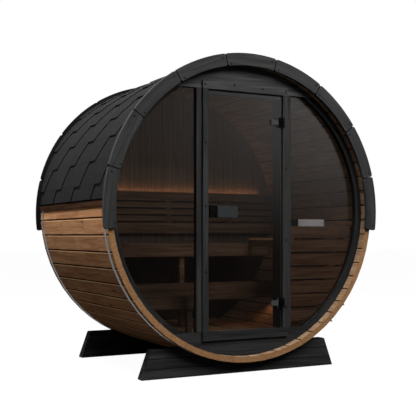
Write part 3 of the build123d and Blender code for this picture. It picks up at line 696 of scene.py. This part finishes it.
def screw_group():
    """Tree that sets a head on each point, to size and turned along the point's facing."""
    kinds = {"Head": "Object", "Radius": "Float", "Height": "Float", "Material": "Material"}
    group, given, output = geometry_group("screw_heads", **kinds)
    head = add(group, "GeometryNodeObjectInfo", {"Object": given["Head"]}, out="Geometry")
    facing = add(group, "GeometryNodeInputNamedAttribute", {"Name": "facing"}, data_type="FLOAT_VECTOR")
    turn = add(group, "FunctionNodeAlignRotationToVector", {"Vector": facing}, axis="Z")
    scale = add(group, "CombineXYZ", given["Radius"], given["Radius"], given["Height"])
    sockets = {"Points": given["Geometry"], "Instance": head, "Rotation": turn, "Scale": scale}
    heads = add(group, "GeometryNodeInstanceOnPoints", sockets)
    return finish_group(group, output, heads, given["Material"])


def screw_head():
    """Tapered head of unit radius and height, with a shallow recess, sunk by a sixth of its height."""
    edit = bmesh.new()
    sunk, top_radius, rim, recess = 1 / 6, 0.8, 0.35, 0.05
    bmesh.ops.create_cone(edit, cap_ends=True, segments=16, radius1=1.0, radius2=top_radius, depth=1.0)
    for vert in edit.verts:
        vert.co.z += 1 / 2 - sunk
    top = max(edit.faces, key=lambda face: face.calc_center_median().z)
    bmesh.ops.inset_region(edit, faces=[top], thickness=rim, depth=-recess)
    mesh = bpy.data.meshes.new("screw_head")
    edit.to_mesh(mesh)
    edit.free()
    return bpy.data.objects.new("screw_head", mesh)


def screw_spots(barrel):
    """Places and facings of the screws that show on the door frame and on both fascias."""
    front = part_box("door_stiles")[0][1]
    spots = [((x, front, barrel.axis_height + z), FORWARD) for x, z in FRAME_SCREWS]
    # Two screws to a board, near its ends: one by the inner edge and one by the outer
    inner, outer, share, sink = 0.986, 1.030, 0.42, 0.9 * MM
    boards = range(-4, 5)
    for node, facing, side in (("fascia_front", FORWARD, 0), ("fascia_rear", BACKWARD, 1)):
        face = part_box(node)[side][1] - facing[1] * sink
        for board in boards:
            for offset, reach in ((-share, inner), (share, outer)):
                angle = (board + offset) * barrel.fascia_angle
                height = barrel.axis_height + reach * math.cos(angle)
                spots.append(((reach * math.sin(angle), face, height), facing))
    return spots


def stone_group():
    """Tree that heaps turned and scaled stones on points."""
    kinds = {"Stone": "Object", "Size": "Float", "Seed": "Int", "Material": "Material"}
    group, given, output = geometry_group("stone_bed", **kinds)
    stone = add(group, "GeometryNodeObjectInfo", {"Object": given["Stone"]}, out="Geometry")
    sockets = {"Min": (0.0, 0.0, 0.0), "Max": (math.tau, math.tau, math.tau), "Seed": given["Seed"]}
    turn = add(group, "FunctionNodeRandomValue", sockets, data_type="FLOAT_VECTOR")
    sockets = {"Min": (0.75, 0.75, 0.55), "Max": (1.1, 1.1, 0.8), "Seed": given["Seed"]}
    scale = add(group, "FunctionNodeRandomValue", sockets, data_type="FLOAT_VECTOR")
    scale = add(group, "VectorMath", {0: scale, "Scale": given["Size"]}, operation="SCALE")
    sockets = {"Points": given["Geometry"], "Instance": stone, "Rotation": turn, "Scale": scale}
    stones = add(group, "GeometryNodeInstanceOnPoints", sockets)
    return finish_group(group, output, stones, given["Material"])


def stone_shape(seed):
    """Rounded broken stone of unit radius."""
    edit = bmesh.new()
    bmesh.ops.create_icosphere(edit, subdivisions=2, radius=1.0)
    lumps, rise, reach = 1.3, 0.22, 0.9
    for vert in edit.verts:
        place = vert.co * lumps + Vector((seed, 0.0, 0.0))
        vert.co *= 1.0 + rise * hetero_terrain(place, 1.0, 2.0, 2, 0.0)
        vert.co *= reach / max(vert.co.length, reach)
    mesh = bpy.data.meshes.new("stone")
    edit.to_mesh(mesh)
    edit.free()
    return bpy.data.objects.new("stone", mesh)


def stone_spots(count, size, seed):
    """Rows of stones in the heater's bin, in two layers."""
    low, high = OPENINGS["stone_bin"]
    pitch, layer_height, loose = 1.45 * size, 0.9 * size, 0.25 * size
    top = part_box("heater")[1][2] - 1.1 * size
    width, depth = high[0] - low[0] - 2 * size, high[1] - low[1] - 2 * size
    columns = max(2, round(width / pitch))
    rows = max(2, round(depth / pitch))
    picks = Random(seed)
    spots = []

    def step(place, total):
        """Place in a row, moved a little unless it is at an end."""
        return (place + picks.uniform(-0.2, 0.2) * (0 < place < total - 1)) / (total - 1)

    for layer in range(2):
        for row in range(rows):
            for column in range(columns):
                x = low[0] + size + width * step(column, columns)
                y = low[1] + size + depth * step(row, rows)
                spots.append((x, y, top - layer * layer_height - picks.uniform(0.0, loose)))
    return spots[:count]


# Operators


class SaunaPiece:
    """What the operators share."""

    bl_options = {"REGISTER"}


class SAUNA_OT_staves(SaunaPiece, bpy.types.Operator):
    """Give the barrel's staves oiled wood with finger-jointed lengths and end grain"""

    bl_idname = "sauna.staves"
    bl_label = "Staves"

    def execute(self, context):
        barrel, finish = context.scene.sauna_barrel, context.scene.sauna_finish
        # Heat-treated spruce, planed and oiled: warm brown, fine straight grain, few knots, no gloss
        made = wood(
            "oiled_spruce", finish.stave_light, finish.stave_dark, stave_space, spread=0.1,
            section=barrel.section, groove=0.05, vee=0.07, seam=0.92, knots=0.6,
            end=(finish.end_light, finish.end_dark),
        )
        tree, shader, oiled = coat(made)
        angle, reach, _ = ring_space(tree)
        # The bevels of the staves get a painted highlight
        planed = self.lip(tree, angle, oiled)
        # The faces in the room are bare wood, and greyer
        greyer = (0.62, 0.8, 1.0, 1.0)
        sockets = {0: 1.0, 6: oiled, 7: greyer}
        bare = add(tree, "Mix", sockets, out=2, data_type="RGBA", blend_type="MULTIPLY")
        limit = barrel.radius - barrel.thickness + 1.5 * MM
        inside = add(tree, "Math", reach, limit, operation="LESS_THAN")
        dress(tree, shader, add(tree, "Mix", {0: inside, 6: planed, 7: bare}, out=2, data_type="RGBA"))
        paint(made, *STAVES)
        return {"FINISHED"}

    def lip(self, tree, angle, oiled):
        """Painted highlight on the bevel along each stave's upper edge, most of all low on the flank."""
        staves = bpy.context.scene.sauna_barrel.staves
        count = add(tree, "Math", angle, staves / math.tau, operation="MULTIPLY")
        part = add(tree, "Math", count, operation="FRACT")
        left = add(tree, "Math", angle, 0.0, operation="LESS_THAN")
        down = add(tree, "Math", add(tree, "Math", left, part, operation="SUBTRACT"), operation="ABSOLUTE")
        # The bevel is 2.5 mm, too fine to show, so it is drawn from one share of the stave to another
        start, stop = (0.045, 0.06), (0.1, 0.12)
        upper = add(tree, "MapRange", down, *start, interpolation_type="SMOOTHSTEP")
        lower = add(tree, "MapRange", down, *stop, interpolation_type="SMOOTHSTEP")
        edge = add(tree, "Math", upper, lower, operation="SUBTRACT")
        flank = add(tree, "Math", 1.0, end_face(tree), operation="SUBTRACT")
        edge = add(tree, "Math", edge, flank, operation="MULTIPLY")
        turn = add(tree, "Math", angle, operation="ABSOLUTE")
        # Radians from the top: just under the widest place of the barrel, and well below it
        level, low = 1.7, 2.0
        painted_highlight = add(tree, "MapRange", turn, level, low, 0.15, 1.0)
        painted_highlight = add(tree, "Math", painted_highlight, edge, operation="MULTIPLY")
        # The pale colour is a painted highlight, standing for light caught by the bevel
        return add(tree, "Mix", {0: painted_highlight, 6: oiled, 7: linear("#ffcf9f")}, out=2, data_type="RGBA")


class SAUNA_OT_roof(SaunaPiece, bpy.types.Operator):
    """Lay hexagonal shingles over both slopes"""

    bl_idname = "sauna.roof"
    bl_label = "Roof"

    def execute(self, context):
        roof, barrel = context.scene.sauna_roof, context.scene.sauna_barrel
        made = shingle_material(context.scene.sauna_finish)
        group = shingle_group()
        columns = math.ceil(2 * roof.half_length / roof.period) + 3
        for side, name in ((-1.0, "left"), (1.0, "right")):
            piece = shingle_cell(roof)
            piece.name = "shingles_" + name
            values = {"Period": roof.period, "Course": roof.course_angle * roof.radius, "Columns": columns}
            values.update({"Rows": roof.courses + 2, "Radius": roof.radius, "First Angle": roof.first_angle})
            values.update({"Axis Height": barrel.axis_height, "Side": side, "Phase": roof.phase})
            node_modifier(piece, group, **values, Seed=roof.seed, Material=made)
            settle(piece)
            trim_roof(piece, roof, barrel.axis_height, side)
            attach(piece, "sauna")
            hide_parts("roof_courses_" + name)
        paint(made, "ridge_cap")
        # Brown-stained spruce: dark and matt, with a painted shadow along its top under the last course
        batten = wood("brown_stained_spruce", "#3d2a1e", "#221710", planks("y", "z", 0.5), rough=0.7)
        tree = batten.node_tree
        turn = add(tree, "Math", ring_space(tree)[0], operation="ABSOLUTE")
        low, high = (roof.eave_angle + math.radians(part) for part in (0.45, 0.95))
        # Painted shadow of the last course, darkest at the batten's top
        eave_shadow = add(tree, "MapRange", turn, low, high, 1.0, 0.0, interpolation_type="SMOOTHSTEP")
        overlay(batten, eave_shadow, "#070606")
        paint(batten, "eave_battens")
        return {"FINISHED"}


class SAUNA_OT_fascia(SaunaPiece, bpy.types.Operator):
    """Stain the arched fascia boards"""

    bl_idname = "sauna.fascia"
    bl_label = "Fascia"

    def execute(self, context):
        finish = context.scene.sauna_finish
        # Charcoal-stained spruce: dark grey, matt, with a painted highlight along the outer arris
        front = wood(
            "charcoal_stained_spruce", finish.fascia_light, finish.fascia_dark, arch_space, rough=0.62,
            spread=0.2, groove=0.012,
        )
        arris = 1.0555
        painted_highlight = add(front.node_tree, "Math", ring_space(front.node_tree)[1], arris, operation="GREATER_THAN")
        # Painted highlight on the outer arris
        overlay(front, painted_highlight, "#3c3d3e")
        paint(front, "fascia_front")
        # The rear boards, in the same stain as the front, drawn nearly black as painted shade
        rear = wood("black_stained_spruce", "#1d1d1d", "#131313", arch_space, 0.65, 0.2, groove=0.012)
        paint(rear, "fascia_rear")
        round_edges(3.0 * MM, "fascia_front", "fascia_rear")
        return {"FINISHED"}


class SAUNA_OT_front(SaunaPiece, bpy.types.Operator):
    """Stain the front wall and the door frame black"""

    bl_idname = "sauna.front"
    bl_label = "Front"

    def execute(self, context):
        finish = context.scene.sauna_finish
        pitch = context.scene.sauna_barrel.frame_board
        upright, level = planks("z", "x", pitch), planks("x", "z", pitch)
        # Black-stained pine, each board by how it lies: matt, with the grain just showing
        boards = {
            "black_stained_uprights": (
                (finish.frame_light, finish.frame_dark, upright),
                ("door_post_left", "door_post_right", "door_stiles"),
            ),
            "black_stained_rails": (("#2d2d2d", "#1f1f1f", level), ("door_sill", "front_bottom_panel")),
            "charcoal_stained_lintel": (("#444444", "#313131", level), ("door_header", "front_top_panel")),
            "black_stained_ring": (
                ("#292929", "#1c1c1c", arch_space), ("front_ring_left", "front_ring_right")
            ),
        }
        for name, (look, nodes) in boards.items():
            paint(wood(name, *look, spread=0.1), *nodes)
        round_edges(2.0 * MM, "door_post_left", "door_post_right", "door_stiles", "door_header", "door_sill")
        # Pine beads drawn near black: a thin dark edge beside the glass, painted as the shade in the rebate
        paint(wood("brown_stained_beads", "#2a2018", "#1a130e", stave_space), "glazing_beads")
        return {"FINISHED"}


class SAUNA_OT_glass(SaunaPiece, bpy.types.Operator):
    """Tint the panes and the door leaf"""

    bl_idname = "sauna.glass"
    bl_label = "Glass"

    def execute(self, context):
        finish = context.scene.sauna_finish
        # Bronze float glass: dark veil, clear sheen, and a roll of a third of a metre in its surface
        made, tree, shader = material("bronze_glass", 0.02, gloss=1.0)
        shader.inputs["Alpha"].default_value = 0.35
        shader.inputs["IOR"].default_value = 1.6
        spot = add(tree, "TexCoord", out="Object")
        sockets = {"Vector": spot, "Scale": 1 / (333.0 * MM), "Detail": 1.0, "Roughness": 0.55}
        roll = add(tree, "TexNoise", sockets)
        sockets = {0: roll, 6: linear(finish.glass_dark), 7: linear(finish.glass_light)}
        dress(tree, shader, add(tree, "Mix", sockets, out=2, data_type="RGBA"), None, roll, 0.02, 1.0 * MM)
        paint(made, "window_left", "window_right", "door_glass")
        return {"FINISHED"}


class SAUNA_OT_steel(SaunaPiece, bpy.types.Operator):
    """Give the hoops, the door furniture and the heater their metals"""

    bl_idname = "sauna.steel"
    bl_label = "Steel"

    def execute(self, context):
        finish = context.scene.sauna_finish
        # Zinc-plated band: pale grey, satin, with rolling lines round the barrel
        rolled = (50.0, 1.67, 50.0)
        hoop = brushed("zinc_plated_steel", finish.hoop_light, finish.hoop_dark, 0.5, rolled, 0.6)
        paint(hoop, "hoop_front", "hoop_rear")
        # Grey-coated satin steel: dark, brushed along the plate
        along = (66.7, 3.33, 2.0)
        paint(brushed("satin_coated_steel", "#303233", "#26282a", 0.4, along, 0.2, 0.3), "door_handle")
        # Black powder coat: fine even grain, hardly any gloss
        black = brushed("black_powder_coat", "#0c0c0c", "#060606", 0.6, (5.0, 5.0, 5.0), 0.0, 0.08)
        paint(black, "door_latch", "hinge_leaves")
        # Satin steel of the hinges: a mid grey plate, with a black clamp by the door's edge
        hinge = brushed("satin_hinge_steel", "#3e3f3f", "#323333", 0.5, along, 0.0, 0.05)
        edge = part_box("door_glass")[1][0] - 30.0 * MM
        across = row_place(hinge.node_tree)[0]
        overlay(hinge, add(hinge.node_tree, "Math", across, edge, operation="GREATER_THAN"), "#040404")
        paint(hinge, "door_hinge_plates")
        paint(self.heater(), "heater")
        return {"FINISHED"}

    def heater(self):
        """Brushed stainless steel: a pale satin rim round the stones, over a black-coated casing."""
        made = brushed("brushed_stainless_steel", "#d6d6d6", "#b9b9ba", 0.5, (66.7, 66.7, 2.5), 0.0, 0.3)
        tree = made.node_tree
        low, high = OPENINGS["stone_bin"]
        wall, rim = 21.0 * MM, 85.0 * MM
        x, _, z = row_place(tree)
        across = add(tree, "Math", x, (low[0] + high[0]) / 2, operation="SUBTRACT")
        across = add(tree, "Math", across, operation="ABSOLUTE")
        side = add(tree, "Math", across, (high[0] - low[0]) / 2 + wall, operation="GREATER_THAN")
        foot = add(tree, "Math", z, high[2] - rim, operation="LESS_THAN")
        overlay(made, add(tree, "Math", side, foot, operation="MAXIMUM"), "#101010")
        return made


class SAUNA_OT_inside(SaunaPiece, bpy.types.Operator):
    """Give the room its boards, benches and light strip"""

    bl_idname = "sauna.inside"
    bl_label = "Inside"

    def execute(self, context):
        barrel, finish = context.scene.sauna_barrel, context.scene.sauna_finish
        # Planed spruce boards: grey-brown in the room, with thin joints and small knots
        pitch = barrel.back_board
        boards = planks("z", "x", pitch, pitch / 2)
        back = wood(
            "planed_spruce", "#73685e", "#675d53", boards, spread=0.09, groove=0.05, seam=0.25, knots=0.3
        )
        self.sides(back)
        paint(back, "back_wall")
        # Planed aspen slats: plain and soft brown, with a darker copy on the low benches as painted shade
        slats = planks("x", "z", barrel.bench_slat)
        bench = wood("planed_aspen", finish.bench_light, finish.bench_dark, slats, spread=0.25)
        paint(bench, "upper_bench", "backrest")
        paint(wood("aged_aspen", "#66503f", "#4c392b", slats, spread=0.25), "lower_bench", "step_bench")
        paint(self.guard(planks("x", "z", barrel.guard_slat)), "heater_guard")
        # Pine floor: warmer, with a strong tone from board to board
        boards = planks("y", "x", barrel.floor_board)
        floor = wood("planed_pine", finish.floor_light, finish.floor_dark, boards)
        paint(floor, "floor_boards", "floor_joists")
        paint(self.diffuser(), "light_strip")
        return {"FINISHED"}

    def diffuser(self):
        """Frosted cover over a row of small lamps, warm and brighter over each of them."""
        made, tree, shader = material("frosted_acrylic", 0.5)
        pitch = 16.7 * MM
        wave = add(tree, "Math", row_place(tree)[0], math.tau / pitch, operation="MULTIPLY")
        wave = add(tree, "Math", wave, operation="SINE")
        dots = add(tree, "MapRange", wave, -0.2, 0.9, interpolation_type="SMOOTHSTEP")
        sockets = {0: dots, 6: linear("#ffd09a"), 7: linear("#fff0d8")}
        dress(tree, shader, add(tree, "Mix", sockets, out=2, data_type="RGBA"))
        shader.inputs["Emission Color"].default_value = linear("#ffb878")
        shader.inputs["Emission Strength"].default_value = 0.5
        return made

    def sides(self, made):
        """Oiled outside, bare in the room, and darkened with painted shade behind the backrest and under the
        bench.
        """
        tree, shader, board = coat(made)
        _, y, z = row_place(tree)
        foot, top = (corner[2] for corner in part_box("backrest"))
        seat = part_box("upper_bench")[1][2]
        # Painted shade on the wall from the backrest's top down, lighter between the seat and the backrest
        shaded = add(tree, "MapRange", z, top - 10.0 * MM, top, 0.88, 0.0)
        above = add(tree, "Math", z, seat, operation="GREATER_THAN")
        below = add(tree, "Math", z, foot, operation="LESS_THAN")
        between = add(tree, "Math", above, below, operation="MULTIPLY")
        clear = add(tree, "Math", between, -0.6, 1.0, operation="MULTIPLY_ADD")
        shaded = add(tree, "Math", shaded, clear, operation="MULTIPLY")
        dim = add(tree, "Mix", {0: shaded, 6: board, 7: linear("#080807")}, out=2, data_type="RGBA")
        warmer = (2.6, 1.75, 1.1, 1.0)
        sockets = {0: 1.0, 6: board, 7: warmer}
        oiled = add(tree, "Mix", sockets, out=2, data_type="RGBA", blend_type="MULTIPLY")
        inside = add(tree, "Math", y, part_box("back_wall")[1][1] - 1.0 * MM, operation="LESS_THAN")
        dress(tree, shader, add(tree, "Mix", {0: inside, 6: oiled, 7: dim}, out=2, data_type="RGBA"))

    def guard(self, slats):
        """Planed aspen as on the benches, with a painted highlight along the top of the rail."""
        made = wood("guard_aspen", "#735743", "#583f30", slats, spread=0.2)
        tree = made.node_tree
        _, y, z = row_place(tree)
        rail_top, rail_front, lit_top_height = 0.9199, -0.52, 16.0 * MM
        cap = add(tree, "Math", z, rail_top - lit_top_height, operation="GREATER_THAN")
        rail = add(tree, "Math", y, rail_front, operation="GREATER_THAN")
        # Pale colour on the rail's top, a painted highlight standing for light from above
        overlay(made, add(tree, "Math", cap, rail, operation="MULTIPLY"), "#e2b186")
        return made


class SAUNA_OT_cradles(SaunaPiece, bpy.types.Operator):
    """Stain the cradles black"""

    bl_idname = "sauna.cradles"
    bl_label = "Cradles"

    def execute(self, context):
        # Black-stained pine, glued up from three boards whose joints just show
        boards = planks("x", "z", context.scene.sauna_barrel.cradle_board)
        made = wood("black_stained_pine", "#323232", "#202020", boards, rough=0.65, spread=0.25, groove=0.04)
        paint(made, "cradle_front", "cradle_rear")
        return {"FINISHED"}


class SAUNA_OT_screws(SaunaPiece, bpy.types.Operator):
    """Set the screws that show"""

    bl_idname = "sauna.screws"
    bl_label = "Screws"

    def execute(self, context):
        fittings = context.scene.sauna_fittings
        spots = screw_spots(context.scene.sauna_barrel)
        piece = mesh_piece("frame_screws", [spot for spot, facing in spots], [])
        facings = piece.data.attributes.new("facing", "FLOAT_VECTOR", "POINT")
        facings.data.foreach_set("vector", [value for spot, facing in spots for value in facing])
        # Black oxide on steel: a small dark dot with no shine
        made = brushed("black_oxide_steel", "#0b0b0b", "#050505", 0.6, (1.11, 1.11, 1.11), 0.0, 0.05)
        head = screw_head()
        context.scene.collection.objects.link(head)
        values = {"Head": head, "Radius": fittings.head_radius, "Height": fittings.head_height}
        node_modifier(piece, screw_group(), **values, Material=made)
        settle(piece)
        bpy.data.objects.remove(head)
        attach(piece, "sauna")
        return {"FINISHED"}


class SAUNA_OT_stones(SaunaPiece, bpy.types.Operator):
    """Heap stones in the heater's bin"""

    bl_idname = "sauna.stones"
    bl_label = "Stones"

    def execute(self, context):
        fittings = context.scene.sauna_fittings
        spots = stone_spots(fittings.stones, fittings.stone_size, fittings.seed)
        piece = mesh_piece("heater_stones", spots, [])
        stone = stone_shape(float(fittings.seed))
        context.scene.collection.objects.link(stone)
        values = {"Stone": stone, "Size": fittings.stone_size, "Seed": fittings.seed}
        node_modifier(piece, stone_group(), **values, Material=self.finish())
        settle(piece)
        piece.data.shade_smooth()
        bpy.data.objects.remove(stone)
        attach(piece, "sauna")
        return {"FINISHED"}

    def finish(self):
        """Broken olivine: pale grey and rough, patches of 45 mm, dark crystals drawn at 6 mm to show."""
        made, tree, shader = material("broken_olivine", 0.85, gloss=0.2)
        spot = add(tree, "TexCoord", out="Object")
        sockets = {"Vector": spot, "Scale": 1 / (6.25 * MM), "Detail": 4.0, "Roughness": 0.55}
        speck = add(tree, "TexNoise", sockets)
        broad = add(tree, "TexNoise", {**sockets, "Scale": 1 / (45.5 * MM), "Detail": 2.0})
        part = add(tree, "MapRange", broad, *SOFT, interpolation_type="SMOOTHSTEP")
        sockets = {0: part, 6: linear("#8b8985"), 7: linear("#c3c2bf")}
        colour = add(tree, "Mix", sockets, out=2, data_type="RGBA")
        part = add(tree, "MapRange", speck, 0.45, 0.8, 0.0, 0.5, interpolation_type="SMOOTHSTEP")
        colour = add(tree, "Mix", {0: part, 6: colour, 7: linear("#5b5a58")}, out=2, data_type="RGBA")
        dress(tree, shader, colour, None, speck, 0.5, 2.0 * MM)
        return made


class SAUNA_OT_stage(SaunaPiece, bpy.types.Operator):
    """Set the floor, the light and the camera"""

    bl_idname = "sauna.stage"
    bl_label = "Stage"

    def execute(self, context):
        stage = context.scene.sauna_stage
        self.floor()
        self.sky(context, stage)
        self.flag()
        for name, look in LAMPS.items():
            self.lamp(name, getattr(stage, name), *look)
        camera = bpy.data.objects.new("camera", bpy.data.cameras.new("camera"))
        context.scene.collection.objects.link(camera)
        camera.location = stage.camera
        camera.rotation_euler = (math.pi / 2, 0.0, -stage.yaw)
        camera.data.lens = stage.lens
        camera.data.sensor_width = 36.0
        camera.data.shift_y = stage.shift
        camera.data.clip_end = 200.0
        context.scene.camera = camera
        context.scene.view_settings.view_transform = "Standard"
        return {"FINISHED"}

    def lamp(self, name, energy, place, target, size, colour, spread, in_gloss):
        """Soft rectangular lamp aimed at a point."""
        data = bpy.data.lights.new(name, "AREA")
        data.shape = "RECTANGLE"
        data.energy = energy
        data.color = linear(colour)[:3]
        data.size, data.size_y = size
        data.spread = math.radians(spread)
        lamp = bpy.data.objects.new(name, data)
        lamp.location = place
        lamp.rotation_euler = (Vector(target) - Vector(place)).to_track_quat("-Z", "Y").to_euler()
        lamp.visible_glossy = in_gloss
        if name in ROOM_LAMPS:
            lamp.visible_camera = False
        bpy.context.scene.collection.objects.link(lamp)

    def background_ray(self, tree):
        """1 on rays that show the background: to the camera, in gloss and through glass."""
        path = add(tree, "LightPath", out=None)
        shown = add(tree, "Math", path["Is Camera Ray"], path["Is Glossy Ray"], operation="MAXIMUM")
        return add(tree, "Math", shown, path["Is Transmission Ray"], operation="MAXIMUM")

    def floor(self):
        """Pale floor, white in view, that keeps a soft shadow."""
        half = 40.0
        points = [(-half, -half, 0), (half, -half, 0), (half, half, 0), (-half, half, 0)]
        floor = mesh_piece("floor", points, [(0, 1, 2, 3)])
        made, tree, shader = material("pale_floor", 0.9)
        shader.inputs["Base Color"].default_value = linear("#2c2c2c")
        white = add(tree, "Emission", {"Strength": 1.0})
        pale = add(tree, "BsdfDiffuse", {"Color": linear("#ffffff")})
        seen = add(tree, "MixShader", 0.03, white, pale)
        both = add(tree, "MixShader", self.background_ray(tree), shader.outputs[0], seen)
        tree.links.new(both, tree.nodes["Material Output"].inputs["Surface"])
        floor.data.materials.append(made)

    def flag(self):
        """Dark card in front of the glass that shows only in gloss and thins out upwards."""
        width, near, far, foot, high = 7.0, -0.8, -5.2, 0.002, 3.8
        points = [(-width, near, foot), (width, near, foot), (width, far, foot), (-width, far, foot)]
        points += [(width, far, high), (-width, far, high)]
        card = mesh_piece("flag", points, [(0, 1, 2, 3), (3, 2, 4, 5)])
        made, tree, _ = material("black_card", 1.0)
        along, _, height = row_place(tree)
        side = add(tree, "MapRange", along, 1.0, 4.5, 0.2, 1.0, interpolation_type="SMOOTHSTEP")
        rise = add(tree, "MapRange", height, 0.5, 3.2, interpolation_type="SMOOTHSTEP")
        clearness = add(tree, "Math", rise, side, operation="MULTIPLY")
        dark = add(tree, "Emission", {"Color": linear("#0a0a0a")})
        both = add(tree, "MixShader", clearness, dark, add(tree, "BsdfTransparent"))
        tree.links.new(both, tree.nodes["Material Output"].inputs["Surface"])
        card.data.materials.append(made)
        card.visible_camera = False
        card.visible_diffuse = False
        card.visible_shadow = False

    def sky(self, context, stage):
        """White behind the object, soft light from above for the rest."""
        world = bpy.data.worlds.new("studio")
        context.scene.world = world
        world.use_nodes = True
        tree = world.node_tree
        tree.nodes.clear()
        way = add(tree, "SeparateXYZ", add(tree, "TexCoord", out="Generated"), out=2)
        level = add(tree, "MapRange", way, 0.1, 0.95, 0.04 * stage.sky, stage.sky)
        soft = add(tree, "Background", {"Color": linear("#ffffff"), "Strength": level})
        white = add(tree, "Background", {"Color": linear("#ffffff"), "Strength": 1.0})
        both = add(tree, "MixShader", self.background_ray(tree), soft, white)
        add(tree, "OutputWorld", {"Surface": both}, out=None)


class SAUNA_PT_panel(bpy.types.Panel):
    """Sidebar with the settings and a button for each group of pieces"""

    bl_label = "Barrel sauna"
    bl_idname = "SAUNA_PT_panel"
    bl_space_type = "VIEW_3D"
    bl_region_type = "UI"
    bl_category = "Sauna"

    def draw(self, context):
        for name in SETTINGS:
            box = self.layout.box()
            settings = getattr(context.scene, name)
            for key in settings.__annotations__:
                box.prop(settings, key)
        for operator in OPERATORS:
            self.layout.operator(operator.bl_idname)


SETTINGS = {
    "sauna_barrel": BarrelSettings,
    "sauna_roof": RoofSettings,
    "sauna_fittings": FittingSettings,
    "sauna_finish": FinishSettings,
    "sauna_stage": StageSettings,
}
OPERATORS = (
    SAUNA_OT_staves,
    SAUNA_OT_roof,
    SAUNA_OT_fascia,
    SAUNA_OT_front,
    SAUNA_OT_glass,
    SAUNA_OT_steel,
    SAUNA_OT_inside,
    SAUNA_OT_cradles,
    SAUNA_OT_screws,
    SAUNA_OT_stones,
    SAUNA_OT_stage,
)


def register():
    """Add the settings, the operators and the panel."""
    for name, settings in SETTINGS.items():
        bpy.utils.register_class(settings)
        setattr(bpy.types.Scene, name, PointerProperty(type=settings))
    for made in (*OPERATORS, SAUNA_PT_panel):
        bpy.utils.register_class(made)


def unregister():
    """Take them out again."""
    for made in reversed((*OPERATORS, SAUNA_PT_panel)):
        bpy.utils.unregister_class(made)
    for name, settings in SETTINGS.items():
        delattr(bpy.types.Scene, name)
        bpy.utils.unregister_class(settings)


def main():
    """Register, and build every group in order."""
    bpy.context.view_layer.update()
    register()
    for operator in OPERATORS:
        getattr(bpy.ops.sauna, operator.bl_idname.split(".")[1])()


if __name__ == "__main__":
    main()
